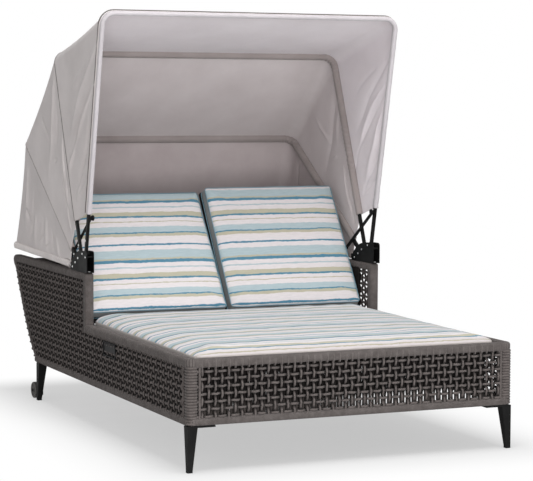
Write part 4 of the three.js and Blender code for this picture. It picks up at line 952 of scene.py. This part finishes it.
def stuffed(name, materials, half_a, half_b, thick, seam, roll, crown, spacing, corner, lean):
    """A boxed cushion on the plane z = 0 with its middle at the origin: a closed mesh with a rolled top,
    an upright boxing and a flat underside. lean is the share by which it is thicker at its far end, and
    roll holds the widths of the rolls at the sides, the near end and the far end. Returns the object and
    its seam and underside points."""
    rows = int(round(2 * half_a / spacing)) + 1
    columns = int(round(2 * half_b / spacing)) + 1
    axes = (np.linspace(-half_a, half_a, rows), np.linspace(-half_b, half_b, columns))
    a, b = np.meshgrid(*axes, indexing="ij")
    over_a = np.maximum(0, np.abs(a) - (half_a - corner)) / corner
    over_b = np.maximum(0, np.abs(b) - (half_b - corner)) / corner
    round_a = drawn_in(a, half_a, corner, over_a, over_b)
    round_b = drawn_in(b, half_b, corner, over_b, over_a)
    lift = rolled(half_a - np.abs(a), roll[0]) * rolled(half_b + b, roll[1]) * rolled(half_b - b, roll[2])
    swell = crown * ((1 - (a / half_a) ** 2) * (1 - (b / half_b) ** 2))
    edge_pull = np.minimum(1, np.minimum(half_a - np.abs(a), half_b - np.abs(b)) / 0.03)
    slant = 1 + lean * b / half_b
    top = (seam + (thick - seam) * lift) * slant + swell + RUMPLE * rumple(a, b, 7) * edge_pull
    pull = np.maximum(np.abs(a) / half_a, np.abs(b) / half_b) ** 6 * RUMPLE * rumple(a, b, 5)
    round_a = round_a + np.sign(a) * np.where(np.abs(a) > half_a - 1e-6, pull - RUMPLE, 0)
    round_b = round_b + np.sign(b) * np.where(np.abs(b) > half_b - 1e-6, pull - RUMPLE, 0)
    uv = np.stack([a, b], -1)
    skin = Skin()
    upper = skin.grid(np.stack([round_a, round_b, top], -1), uv)
    lower = skin.grid(np.stack([round_a, round_b, np.zeros_like(a)], -1)[::-1], uv[::-1])
    edge = round_edge(rows, columns)
    loops = [[upper + i * columns + j for i, j in edge]]
    border = np.array([[round_a[i, j], round_b[i, j]] for i, j in edge])
    edge_high = np.array([top[i, j] for i, j in edge])
    gone = lengths(np.concatenate([border, border[:1]]))
    for level in range(1, BOXING_LEVELS):
        first = skin.add(np.column_stack([border, edge_high * (1 - level / BOXING_LEVELS)]))
        loops.append(list(range(first, first + len(border))))
    loops.append([lower + (rows - 1 - i) * columns + j for i, j in edge])
    top_faces = len(skin.sizes)
    for level, (high_ring, low_ring) in enumerate(zip(loops, loops[1:])):
        v0, v1 = seam * level / BOXING_LEVELS, seam * (level + 1) / BOXING_LEVELS
        for k in range(len(edge)):
            n = (k + 1) % len(edge)
            places = [(gone[k], v0), (gone[k], v1), (gone[k + 1], v1), (gone[k + 1], v0)]
            skin.face([high_ring[k], low_ring[k], low_ring[n], high_ring[n]], places)
    made = skin.object(name, materials, None, "cushion", slice(top_faces, None))
    return made, loops[0], loops[-1], list(range(lower, lower + rows * columns))


def coordinates(mesh):
    flat = np.zeros(len(mesh.vertices) * 3)
    mesh.vertices.foreach_get("co", flat)
    return flat.reshape(-1, 3)


def inflate(cushion, under, pressure, cap):
    """Blows the cushion up as cloth with its underside held, and keeps every point within the cap."""
    mesh = cushion.data
    start = coordinates(mesh)
    held = cushion.vertex_groups.new(name="held")
    held.add(under, 1.0, "REPLACE")
    cloth = cushion.modifiers.new("Cloth", "CLOTH")
    settings = {"use_pressure": True, "uniform_pressure_force": pressure, "vertex_group_mass": "held",
                "quality": 4, "mass": 0.3, "tension_stiffness": 12, "compression_stiffness": 12,
                "bending_stiffness": 0.6}
    for key, value in settings.items():
        setattr(cloth.settings, key, value)
    cloth.settings.effector_weights.gravity = 0
    cloth.point_cache.frame_start = 1
    cloth.point_cache.frame_end = CLOTH_FRAMES
    for number in range(1, CLOTH_FRAMES + 1):
        scene.frame_set(number)
    ready = cushion.evaluated_get(bpy.context.evaluated_depsgraph_get())
    move = coordinates(ready.data) - start
    size = np.linalg.norm(move, axis=1, keepdims=True)
    move *= np.minimum(1, cap / np.maximum(size, 1e-9))
    cushion.modifiers.remove(cloth)
    mesh.vertices.foreach_set("co", (start + move).ravel())
    mesh.update()
    scene.frame_set(1)


def piping_on(name, cushion, loops, body):
    """A piping tube along seam loops of a cushion."""
    skin = Skin()
    matrix = np.array(cushion.matrix_world)
    for loop in loops:
        points = coordinates(cushion.data)[loop]
        for _ in range(2):
            points = (np.roll(points, 1, 0) + 2 * points + np.roll(points, -1, 0)) / 4
        points = points @ matrix[:3, :3].T + matrix[:3, 3]
        along = unit(np.roll(points, -1, 0) - np.roll(points, 1, 0))
        points, along = (np.concatenate([each, each[:1]]) for each in (points, along))
        skin.tube(circles(points, along, matrix[:3, 2], PIPING_RADIUS, 8), caps=False)
    skin.object(name, [PIPING], body, "cushion")


def soften(cushion):
    level = cushion.modifiers.new("Soft", "SUBSURF")
    level.levels = 1
    level.render_levels = 1


def seat_cushion():
    half_x, y0, y1, z, thick = SEAT
    made, _, _, under = stuffed(
        "seat_pad", [SEAT_STRIPES, SEAT_BOXING], half_x - 0.002, (y1 - y0) / 2 - 0.002, thick,
        seam=0.022, roll=(0.150, 0.060, 0.030), crown=0.006, spacing=0.014, corner=0.035, lean=0.17)
    made.matrix_world = Matrix.Translation(place(0, (y0 + y1) / 2, z))
    inflate(made, under, pressure=1.5, cap=0.005)
    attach(made, "base")
    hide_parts("seat_cushion")
    soften(made)


def back_cushion(side):
    x0, x1, u0, u1, n0, thick = BACK_CUSHION
    made, top_loop, low_loop, under = stuffed(
        f"{side}_back_pad", [SHADED_BACK_STRIPES[side], SHADED_BACK_BOXING], (x1 - x0) / 2, (u1 - u0) / 2, thick,
        seam=0.043, roll=(0.014, 0.014, 0.014), crown=0.006, spacing=0.0125, corner=0.010, lean=0.0)
    tilt = Matrix.Rotation(math.radians(BACK_ANGLES[side]), 4, "X")
    pivot = Matrix.Translation(place(0, *BACK_PIVOT))
    middle = Matrix.Translation((SIDES[side] * (x0 + x1) / 2, (u0 + u1) / 2, n0))
    inflate(made, under, pressure=2.0, cap=0.006)
    made.matrix_world = pivot @ tilt @ middle
    bpy.context.view_layer.update()
    piping_on(f"{side}_back_piping", made, [top_loop, low_loop], f"{side}_back")
    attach(made, f"{side}_back")
    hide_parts(f"{side}_back_cushion")
    soften(made)


# Canopy
STRAIGHT_STEPS = 120
CORNER_STEPS = 10
TOP_STEPS = 48
ACROSS_STEPS = 80
HEM_STEPS = 8


def bow_line(name):
    """Places along a bow from one sleeve end to the other, and the way out at each, in the bow's plane.
    share runs from 0 at a foot to 1 where the corner starts, and is 1 over the top."""
    length, sleeve = BOWS[name][3:]
    straight = length - BOW_CORNER
    rows = []
    for i in range(STRAIGHT_STEPS):
        share = i / STRAIGHT_STEPS
        rows.append((-BOW_X, sleeve + (straight - sleeve) * share, -1, 0, share))
    for i in range(CORNER_STEPS):
        turn = math.pi - (i / CORNER_STEPS) * math.pi / 2
        way = (math.cos(turn), math.sin(turn))
        rows.append((-BOW_X + BOW_CORNER + BOW_CORNER * way[0], straight + BOW_CORNER * way[1], *way, 1.0))
    half = [(-row[0], row[1], -row[2], row[3], row[4]) for row in rows]
    for i in range(TOP_STEPS + 1):
        rows.append(((-BOW_X + BOW_CORNER) * (1 - 2 * i / TOP_STEPS), length, 0, 1, 1.0))
    return np.array(rows + half[::-1])


def bow_normal(name):
    """The direction across a bow's plane, to the rear."""
    turn = math.radians(BOWS[name].angle)
    return np.array([0, math.sin(turn), -math.cos(turn)])


def bow_points(name, out, along):
    """Points off a bow: out of its plane's hoop, and along towards the rear, for the whole line."""
    bow = BOWS[name]
    turn = math.radians(bow.angle)
    line = bow_line(name)
    reach = line[:, 1] + out * line[:, 3]
    x = line[:, 0] + out * line[:, 2]
    y = bow.y + reach * math.cos(turn) + along * math.sin(turn)
    z = bow.z + reach * math.sin(turn) - along * math.cos(turn)
    normal = np.stack([line[:, 2], line[:, 3] * math.cos(turn), line[:, 3] * math.sin(turn)], 1)
    return np.stack([x, y + FRONT, z], 1), normal


# Folds of each panel's side: places as (share up the bow, share across the panel), width, height
ROOF_FOLDS = [
    (((0.70, 0.02), (0.51, 0.48), (0.35, 0.86), (0.26, 1.0)), 0.012, 0.0105),
    (((0.90, 0.03), (0.78, 0.27), (0.70, 0.46), (0.61, 0.59), (0.53, 0.75)), 0.022, 0.0100),
    (((0.71, 0.13), (0.64, 0.32), (0.54, 0.50), (0.36, 0.79)), 0.017, -0.0080),
    (((0.62, 0.07), (0.37, 0.26), (0.22, 0.50)), 0.024, -0.0110),
    (((0.85, 0.31), (0.80, 0.59), (0.76, 0.68)), 0.012, 0.0040),
    (((0.29, 0.16), (0.13, 0.70)), 0.010, 0.0060), (((0.25, 0.17), (0.21, 0.39)), 0.009, 0.0045),
    (((0.17, 0.18), (0.12, 0.71)), 0.009, 0.0050), (((0.46, 0.03), (0.06, 0.10)), 0.012, -0.0060),
]
SLOPE_FOLDS = [
    (((0.99, 0.01), (0.84, 0.16), (0.66, 0.46), (0.58, 0.77)), 0.022, 0.0090),
    (((0.79, 0.06), (0.62, 0.29)), 0.014, -0.0060), (((0.56, 0.06), (0.27, 0.28)), 0.010, 0.0075),
    (((0.94, 0.55), (0.86, 0.54), (0.69, 0.48)), 0.007, -0.0036),
    (((0.54, 0.41), (0.56, 0.50)), 0.006, -0.0050), (((0.30, 0.04), (0.17, 0.17)), 0.011, -0.0070),
    (((0.31, 0.19), (0.18, 0.34)), 0.010, 0.0060), (((0.20, 0.42), (0.05, 0.60)), 0.012, 0.0050),
    (((0.42, 0.30), (0.16, 0.55)), 0.012, -0.0050),
]
BACK_FOLDS = [
    (((0.97, 0.07), (0.89, 0.07)), 0.007, -0.0040), (((0.93, 0.18), (0.85, 0.85)), 0.018, 0.0080),
    (((0.91, 0.56), (0.79, 0.69)), 0.010, -0.0055), (((0.78, 0.30), (0.74, 0.98)), 0.016, -0.0060),
    (((0.70, 0.54), (0.64, 0.95)), 0.014, 0.0070), (((0.56, 0.46), (0.52, 0.95)), 0.014, -0.0050),
    (((0.50, 0.40), (0.42, 0.95)), 0.014, 0.0070), (((0.38, 0.45), (0.30, 0.95)), 0.012, -0.0045),
    (((0.28, 0.50), (0.18, 0.95)), 0.012, 0.0060), (((0.60, 0.84), (0.54, 0.72)), 0.006, -0.0050),
    (((0.45, 0.86), (0.40, 0.74)), 0.006, -0.0050),
]
FOLD_SCALE = (0.80, 0.42)
FOLD_DEPTH = 1.25
RIDGE_POWER = 1.2
FAR_OFF = 9.0

# Panels: the bows that they hang between, how far they sag, their folds, and the share of their depth that
# is left when the joint has folded them
PANELS = {
    "roof": ("front", "second", 0.012, ROOF_FOLDS, "canopy_fold", 0.045),
    "slope": ("second", "third", 0.010, SLOPE_FOLDS, "second_bow_fold", 0.05),
    "back": ("third", "rear", 0.010, BACK_FOLDS, "third_bow_fold", 0.06),
}


def fold_heights(share, across, folds):
    """The sum of sharp-crested ridges and round valleys along bent lines, on the grid of (share, across)."""
    u, v = np.broadcast_arrays(share * FOLD_SCALE[0], across * FOLD_SCALE[1])
    total = np.zeros(u.shape)
    for places, width, height in folds:
        line = np.array(places) * FOLD_SCALE
        sizes = np.linalg.norm(np.diff(line, axis=0), axis=1)
        off = np.full(u.shape, FAR_OFF)
        run = np.zeros(u.shape)
        gone = 0.0
        for (u0, v0), (u1, v1), size in zip(line, line[1:], sizes):
            part = np.clip(((u - u0) * (u1 - u0) + (v - v0) * (v1 - v0)) / size ** 2, 0, 1)
            distance = np.hypot(u - u0 - part * (u1 - u0), v - v0 - part * (v1 - v0))
            run = np.where(distance < off, (gone + part * size) / sizes.sum(), run)
            off = np.minimum(off, distance)
            gone += size
        spread = width * (0.7 + 0.6 * run)
        power = RIDGE_POWER if height > 0 else 2
        taper = np.sin(math.pi * (0.10 + 0.85 * run)) ** 0.6
        total = total + FOLD_DEPTH * height * np.exp(-(off / spread) ** power) * taper
    return total


def between(start, end, share):
    """The grid of points from each start to its end, at the given shares of the way."""
    return start[:, None] * (1 - share[None, :, None]) + end[:, None] * share[None, :, None]


def panel_points(front, rear, sag, folds, hem):
    """A panel's grid of points from one bow to the next, with its folds and hem, and the way out at each."""
    start, start_out = bow_points(front, CLOTH_OFF, 0.0)
    end, end_out = bow_points(rear, CLOTH_OFF, 0.0)
    share = bow_line(front)[:, 4:]
    side = np.abs(bow_line(front)[:, 2:3])
    t = np.linspace(0, 1, ACROSS_STEPS + 1)
    out = unit(between(start_out, end_out, t))
    hang = np.sin(math.pi * t)[None] * sag * (1 - 0.5 * side)
    height = fold_heights(share, t[None], folds) * side
    from_bow = np.minimum(t, 1 - t)
    ease = np.minimum(1, (t if hem else from_bow) / FOLD_EASE)[None]
    shy = np.clip((from_bow - FOLD_START) / FOLD_EASE, 0, 1)[None]
    height = np.where(height < 0, height * shy, height * ease)
    points = between(start, end, t) + out * (height - hang)[..., None]
    if hem:
        extra = np.linspace(0, 1, HEM_STEPS + 1)[1:]
        tail = np.maximum(0, fold_heights(share, np.ones((1, 1)), folds)) * side
        drop = between(end, end_hem(rear), extra) + end_out[:, None] * tail[..., None]
        points = np.concatenate([points, drop], 1)
        out = np.concatenate([out, np.repeat(end_out[:, None], HEM_STEPS, 1)], 1)
    return start, points, out


def canopy_panel(name, front, rear, sag, folds, hem):
    """One sheet from one bow to the next, down both sides and over the top, as a thin closed skin. Returns
    it with its flat size and area, and its points and normals."""
    start, points, out = panel_points(front, rear, sag, folds, hem)
    uv = np.stack(np.meshgrid(lengths(start), lengths(points[len(points) // 2]), indexing="ij"), -1)
    normal = unit(np.cross(np.gradient(points, axis=0), np.gradient(points, axis=1)))
    normal = normal * np.sign((normal * out).sum(-1, keepdims=True))
    skin = Skin()
    n, m = points.shape[:2]
    outer = skin.grid((points + normal * CLOTH / 2)[::-1], uv[::-1])
    outer_faces = len(skin.sizes)
    inner = skin.grid(points - normal * CLOTH / 2, uv)
    lining = slice(outer_faces, len(skin.sizes))
    rim = round_edge(n, m)
    for (i, j), (p, q) in zip(rim, rim[1:] + rim[:1]):
        outside = [outer + (n - 1 - i) * m + j, outer + (n - 1 - p) * m + q]
        near, far = tuple(uv[i, j]), tuple(uv[p, q])
        skin.face([*outside, inner + p * m + q, inner + i * m + j], [near, far, far, near])
    made = skin.object(f"{name}_cloth", [CANOPY, LIT_AND_SHADED_LININGS[name]], f"{front}_bow", "canopy", lining)
    width = float(np.linalg.norm(np.diff(points, axis=0), axis=-1).sum(0).max())
    length = float(np.linalg.norm(np.diff(points, axis=1), axis=-1).sum(1).max())
    corner = points[:-1, :-1]
    patch = np.linalg.norm(np.cross(points[1:, :-1] - corner, points[:-1, 1:] - corner), axis=-1)
    return made, (round(width, 3), round(length, 3)), float(patch.sum()), points, normal


def end_hem(name):
    """Where the hem hangs below the rear bow: straight down at the sides and behind."""
    low = bow_points(name, CLOTH_OFF + 0.004, 0.0)[0]
    low[:, 2] = ARM_TOP + 0.008 + HEM_DROP * (bow_line(name)[:, 1] / BOWS[name].length)
    return low


def tube_on_bow(skin, name, section, ways, ripple, flare=0.0, pleats=0.0, flat_to=0.0):
    """A cloth sleeve round a bow from one foot to the other. section holds (out, along) places round it and
    ways the directions in which it swells. Pleats lie across it at the corners and down the sides. Below
    flat_to it lies close to the bow on the inside, where a stay swings past."""
    length, foot = BOWS[name][3:]
    line, out = bow_points(name, 0.0, 0.0)
    gone = lengths(line)
    at = np.linspace(0, gone[-1], int(gone[-1] / PATH_STEP))
    centre = read_off(at, gone, line)
    outward = unit(read_off(at, gone, out))
    rough = rng.normal(0, 1, (len(at), len(section)))
    for _ in range(2):
        rough = (rough + np.roll(rough, 1, 0) + np.roll(rough, -1, 0)) / 3
    from_end = np.minimum(at, gone[-1] - at)
    near_end = np.exp(-from_end / 0.04)[:, None]
    corner_at = length - BOW_CORNER / 2 - foot
    at_corner = np.exp(-((from_end - corner_at) / 0.055) ** 2)
    down_side = 0.55 * np.exp(-((from_end - corner_at * 0.45) / 0.16) ** 2)
    crowd = (at_corner + down_side)[:, None]
    slant = np.arange(len(section)) * 0.35
    wave = np.sin(at[:, None] * 300 + slant + 1.4 * np.sin(at[:, None] * 47))
    swell = ripple * rough * (1 + 2 * near_end) + flare * near_end + pleats * crowd * wave
    flat = section[None] + ways[None] * swell[..., None]
    close = 1 - 0.5 * np.clip((flat_to - (from_end + foot)) / 0.05, 0, 1)
    flat[..., 0] = np.where(flat[..., 0] < 0, flat[..., 0] * close[:, None], flat[..., 0])
    skin.tube(centre[:, None] + flat[..., :1] * outward[:, None] + flat[..., 1:] * bow_normal(name), at)


# The inner sleeves' section: sewn flat to the cloth on both sides and hanging in under the bow
POCKET = np.array([
    (0.0090, 0.0150), (0.0095, 0.0000), (0.0092, -0.0160), (0.0080, -0.0215), (0.0040, -0.0205),
    (-0.0050, -0.0165), (-0.0120, -0.0125), (-0.0140, -0.0070), (-0.0140, 0.0060), (-0.0110, 0.0120),
    (0.0040, 0.0160),
])
POCKET_WAYS = np.array([
    (0, 0), (0, 0), (0, 0), (0, 0), (-0.3, -0.7), (-0.5, -0.85), (-0.7, -0.7), (-1, 0), (-1, 0),
    (-0.7, 0.7), (0, 0),
])


def hem_band(points, normal):
    """Gathered elastic hem round the canopy's lower edge: close slanted ruffles on a raised band."""
    strip, ways = [], []
    levels = np.linspace(0, 1, HEM_LEVELS)
    for row, way in zip(points, normal):
        gone = lengths(row[::-1])
        strip.append(read_off(levels * HEM_HEIGHT, gone, row[::-1]))
        ways.append(read_off(levels * HEM_HEIGHT, gone, way[::-1]))
    strip, ways = np.array(strip), np.array(ways)
    gone = lengths(strip[:, 0])
    at = np.linspace(0, gone[-1], int(gone[-1] / HEM_STEP))
    rows = np.stack([read_off(at, gone, strip[:, level]) for level in range(HEM_LEVELS)], 1)
    outs = unit(np.stack([read_off(at, gone, ways[:, level]) for level in range(HEM_LEVELS)], 1))
    phase = 2 * math.pi * (at[:, None] + 0.012 * levels[None]) / HEM_RUFFLE + 0.8 * np.sin(at[:, None] * 23)
    bulk = np.sin(math.pi * np.clip(levels * 0.92 + 0.04, 0, 1))[None] ** 0.45
    depth = 0.0036 + 0.0036 * bulk + 0.0050 * np.sin(phase) * (0.3 + 0.7 * bulk)
    outer = rows + outs * depth[..., None]
    inner = rows - outs * 0.0020
    crest = 0.5 + 0.5 * np.sin(phase)
    skin = Skin()
    # Painted shade: the crests' rise darkens the gathered cloth in the grooves between the ruffles.
    skin.tube(np.concatenate([outer, inner[:, ::-1]], 1), at, rises=np.concatenate([crest, 0 * crest + 1], 1))
    return skin.object("canopy_hem", [HEM_CLOTH], "third_bow", "canopy")


def bow_seam(name, tone, out, along, radius):
    """A line of stitching along a bow."""
    skin = Skin()
    skin.tube(rope_rings(fine(bow_points(name, out, along)[0], 0.008), radius, bow_normal(name), 5))
    return skin.object(f"{name}_seam", [tone], f"{name}_bow", "canopy")


def press_on_fold(piece):
    """Gives a piece a mesh of its own."""
    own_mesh(piece)


def canopy():
    for name, (front, rear, sag, folds, joint, keep) in PANELS.items():
        hem = name == "back"
        made, flat, area, points, normal = canopy_panel(name, front, rear, sag, folds, hem)
        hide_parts(f"canopy_{name}")
        pieces = [hem_band(points, normal)] if hem else []
        for piece in [made, *pieces]:
            press_on_fold(piece)
    sleeve = Skin()
    tube_on_bow(sleeve, "front", *rounded_section(0.0095, 0.0140, 0.0085), 0.0005, flare=0.002)
    made = sleeve.object("front_sleeve", [SLEEVE], "front_bow", "canopy")
    press_on_fold(made)
    for name, joint, flat_to in (("second", "second_bow_fold", 0.0), ("third", "third_bow_fold", STAY_REACH),
                                 ("rear", "third_bow_fold", STAY_REACH)):
        band = Skin()
        tube_on_bow(band, name, POCKET, POCKET_WAYS, 0.0004, pleats=0.0024, flat_to=flat_to)
        made = band.object(f"{name}_band", [SHADED_BAND], BOW_BODIES[name], "canopy")
        press_on_fold(made)
    bow_seam("second", SEAM, CLOTH_OFF + 0.0012, 0.0, 0.0013)
    bow_seam("third", SOFT_SEAM, CLOTH_OFF + 0.0012, 0.0, 0.0013)
    made = bow_seam("front", SEAM, 0.0108, 0.0154, 0.0026)
    press_on_fold(made)


# Metal details
def lathe(skin, profile, centre, axis, sides=24):
    """Turns a profile of (along the axis, radius) round an axis through centre."""
    axis = np.array(axis, float)
    help_axis = np.array([0, 0, 1.0]) if abs(axis[2]) < 0.9 else np.array([1.0, 0, 0])
    one = unit(np.cross(axis, help_axis))
    two = np.cross(axis, one)
    angles = np.arange(sides) * (2 * math.pi / sides)
    ring = np.cos(angles)[:, None] * one + np.sin(angles)[:, None] * two
    rings = [np.array(centre) + axis * along + ring * max(radius, 1e-5) for along, radius in profile]
    skin.tube(np.array(rings), np.arange(len(rings)) * 0.003)


def dome(skin, centre, axis, radius, height):
    profile = [(-0.0004, radius), (height * 0.25, radius)]
    for turn in (25, 50, 72, 88):
        angle = math.radians(turn)
        profile.append((height * (0.25 + 0.75 * math.sin(angle)), radius * math.cos(angle)))
    lathe(skin, profile, centre, axis, 16)


def fasteners():
    """Pale rivets on the brackets and screws on the bows."""
    outer_x = BOW_X + BOW_HALF_WIDTH + BRACKET_OUTER
    inner_x = BOW_X - BOW_HALF_WIDTH - BRACKET_INNER
    pivots = [(bow.y, bow.z) for bow in BOWS.values()]
    skin = Skin()
    for sign in (-1, 1):
        for y, z in [*pivots, FRONT_RIVET]:
            dome(skin, place(sign * (outer_x + RIVET_PROUD), y, z), (sign, 0, 0), RIVET, 0.0026)
        for y, z in pivots:
            dome(skin, place(sign * (inner_x - RIVET_PROUD), y, z), (-sign, 0, 0), RIVET, 0.0026)
        for y in FOOT_RIVETS:
            dome(skin, place(sign * ((outer_x + inner_x) / 2), y, ARM_TOP + 0.0042), UP, 0.0056, 0.0024)
    skin.object("bracket_rivets", [STEEL], "base", "steel")
    for name, body in BOW_BODIES.items():
        bow = BOWS[name]
        turn = math.radians(bow.angle)
        y = bow.y + BOW_SCREW_REACH * math.cos(turn)
        z = bow.z + BOW_SCREW_REACH * math.sin(turn)
        skin = Skin()
        for sign in (-1, 1):
            dome(skin, place(sign * (BOW_X + BOW_HALF_WIDTH + 0.0010), y, z), (sign, 0, 0), RIVET, 0.0022)
        skin.object(f"{name}_bow_screws", [STEEL], body, "steel")


def wheels():
    """Grey transport wheels: a grooved tread, a dished web and a hub."""
    for side in SIDES:
        low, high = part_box(f"{side}_wheel")
        half = (high.x - low.x) / 2
        radius = (high.z - low.z) / 2
        web = half * 0.42
        outline = [(-half, 0.0046), (-half, 0.011), (-web, 0.0115), (-web, radius - 0.0105),
                   (-half + 0.002, radius - 0.009), (-half, radius - 0.007), (-half, radius - 0.003),
                   (-half + 0.0025, radius - 0.0004), (-0.0022, radius), (-0.0014, radius - 0.0014)]
        outline += [(-along, out) for along, out in outline[::-1]]
        skin = Skin()
        lathe(skin, outline, tuple((low + high) / 2), ACROSS, 40)
        made = skin.object(f"{side}_roller", [TYRE], f"{side}_wheel", "wheel")
        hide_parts(f"{side}_wheel")


def knobs():
    for side, sign in SIDES.items():
        low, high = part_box(f"{side}_stay_knob")
        radius = (high.z - low.z) / 2
        centre = (low + high) / 2
        start = low.x if sign > 0 else high.x
        profile = [(0.0, 0.0005), (0.0, radius * 0.72), (0.001, radius * 0.9), (0.0028, radius),
                   (0.0075, radius), (0.0095, radius * 0.92), (0.0110, radius * 0.66), (0.0112, 0.0032),
                   (abs(high.x - low.x), 0.0030)]
        skin = Skin()
        lathe(skin, profile, (start, centre.y, centre.z), (sign, 0, 0), 28)
        made = skin.object(f"{side}_knob", [PLASTIC], f"{side}_stay", "plastic")
        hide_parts(f"{side}_stay_knob")


def finish_cad_nodes():
    """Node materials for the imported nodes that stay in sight."""
    finishes = {"leg": BLACK, "glide": PLASTIC, "bracket": BLACK, "bow": BOW_BLACK, "stay": BLACK,
                "bezel": PLASTIC, "paddle": HANDLE_GREY, "cylinder": BLACK, "rod": STEEL, "deck": TUBE,
                "bar": TUBE, "back_frame": TUBE}
    for name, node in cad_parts.items():
        if node.hide_render:
            continue
        for word, material in finishes.items():
            if name.endswith(word):
                node.data.materials.clear()
                node.data.materials.append(material)


# Studio
def floor_material():
    """Pale and matt round the object's foot, and white to the camera from a short way out."""
    s = Shader("pale_floor", roughness=0.95)
    s.base.inputs["Base Color"].default_value = (0.80, 0.80, 0.80, 1)
    glow = s.node("ShaderNodeEmission", {"Color": (1, 1, 1, 1), "Strength": 1.0})
    parts = s.parts("Object")
    squares = []
    for axis, half in (("X", HALF), ("Y", cad_box[1].y)):
        beyond = s.calc(s.calc(s.calc(parts[axis], 0.0, "ABSOLUTE"), half, "SUBTRACT"), 0.0, "MAXIMUM")
        squares.append(s.calc(beyond, 2.0, "POWER"))
    away = s.calc(s.calc(*squares), 0.5, "POWER")
    far = s.fade(away, -0.12, 0.42, lowest=0.45, interpolation_type="SMOOTHSTEP")
    part = s.calc(far, s.background_rays(), "MULTIPLY")
    blend = s.node("ShaderNodeMixShader", {"Fac": part, 1: s.base.outputs[0], 2: glow.outputs[0]})
    s.feed(blend.outputs[0], s.tree.nodes["Material Output"].inputs["Surface"])
    return s.material


def set_floor():
    """A plain pale floor that keeps the shadow near the object and fades to white further out."""
    skin = Skin()
    size = 30.0
    corners = np.array([[(-size, -size, 0), (-size, size, 0)], [(size, -size, 0), (size, size, 0)]], float)
    skin.grid(corners, corners[..., :2])
    floor = skin.object("floor", [floor_material()], None, None)
    floor.location.z = -0.0005
    return floor


def set_world():
    """White to the camera, and a weak even light on the object."""
    world = bpy.data.worlds.new("studio")
    scene.world = world
    world.use_nodes = True
    s = Nodes(world.node_tree)
    back = s.tree.nodes["Background"].inputs
    level = s.node("ShaderNodeMapRange", {"Value": s.background_rays(), "To Min": 0.34, "To Max": 1.0})
    s.feed((1, 1, 1, 1), back["Color"])
    s.feed(level.outputs["Result"], back["Strength"])


def area_light(name, at, target, size, power):
    data = bpy.data.lights.new(name, "AREA")
    data.shape = "RECTANGLE"
    data.size, data.size_y = size
    data.energy = power
    lamp = bpy.data.objects.new(name, data)
    scene.collection.objects.link(lamp)
    lamp.location = at
    lamp.rotation_mode = "QUATERNION"
    lamp.rotation_quaternion = (Vector(target) - Vector(at)).to_track_quat("-Z", "Y")
    return lamp


def set_lights(floor):
    """Soft boxes in front, above and to the left. The front one is flagged off the floor."""
    front = area_light("front_softbox", (-1.0, -6.4, 1.2), (0, 0, 1.1), (6.5, 2.4), 375)
    area_light("top_softbox", (-0.2, -1.6, 4.6), (0, 0, 0.6), (3.0, 2.5), 140)
    area_light("left_fill", (-4.6, -3.6, 3.0), (0, 0, 1.0), (1.6, 1.6), 16)
    lit = bpy.data.collections.new("not_lit_by_front")
    lit.objects.link(floor)
    front.light_linking.receiver_collection = lit
    lit.collection_objects[0].light_linking.link_state = "EXCLUDE"


def set_camera():
    data = bpy.data.cameras.new("camera")
    data.sensor_fit = "HORIZONTAL"
    data.sensor_width = 36.0
    data.lens = CAMERA_LENS
    camera = bpy.data.objects.new("camera", data)
    scene.collection.objects.link(camera)
    yaw, pitch, roll = (math.radians(v) for v in (CAMERA_YAW, CAMERA_PITCH, CAMERA_ROLL))
    forward = Vector((math.sin(yaw) * math.cos(pitch), math.cos(yaw) * math.cos(pitch), -math.sin(pitch)))
    right = Vector((math.cos(yaw), -math.sin(yaw), 0))
    turned = right * math.cos(roll) + right.cross(forward) * math.sin(roll)
    turn = Matrix((turned, turned.cross(forward), -forward)).transposed()
    camera.matrix_world = Matrix.Translation(CAMERA_AT) @ turn.to_4x4()
    scene.camera = camera
    scene.view_settings.view_transform = "Standard"


set_camera()
set_world()
set_lights(set_floor())
rim_frame()
corner_posts()
rail_ties()
stiffeners()
rear_frame()
front_net()
rear_net()
for side_name in SIDES:
    arm_frame(side_name)
    side_net(side_name)
    back_cushion(side_name)
seat_cushion()
canopy()
fasteners()
wheels()
knobs()
finish_cad_nodes()
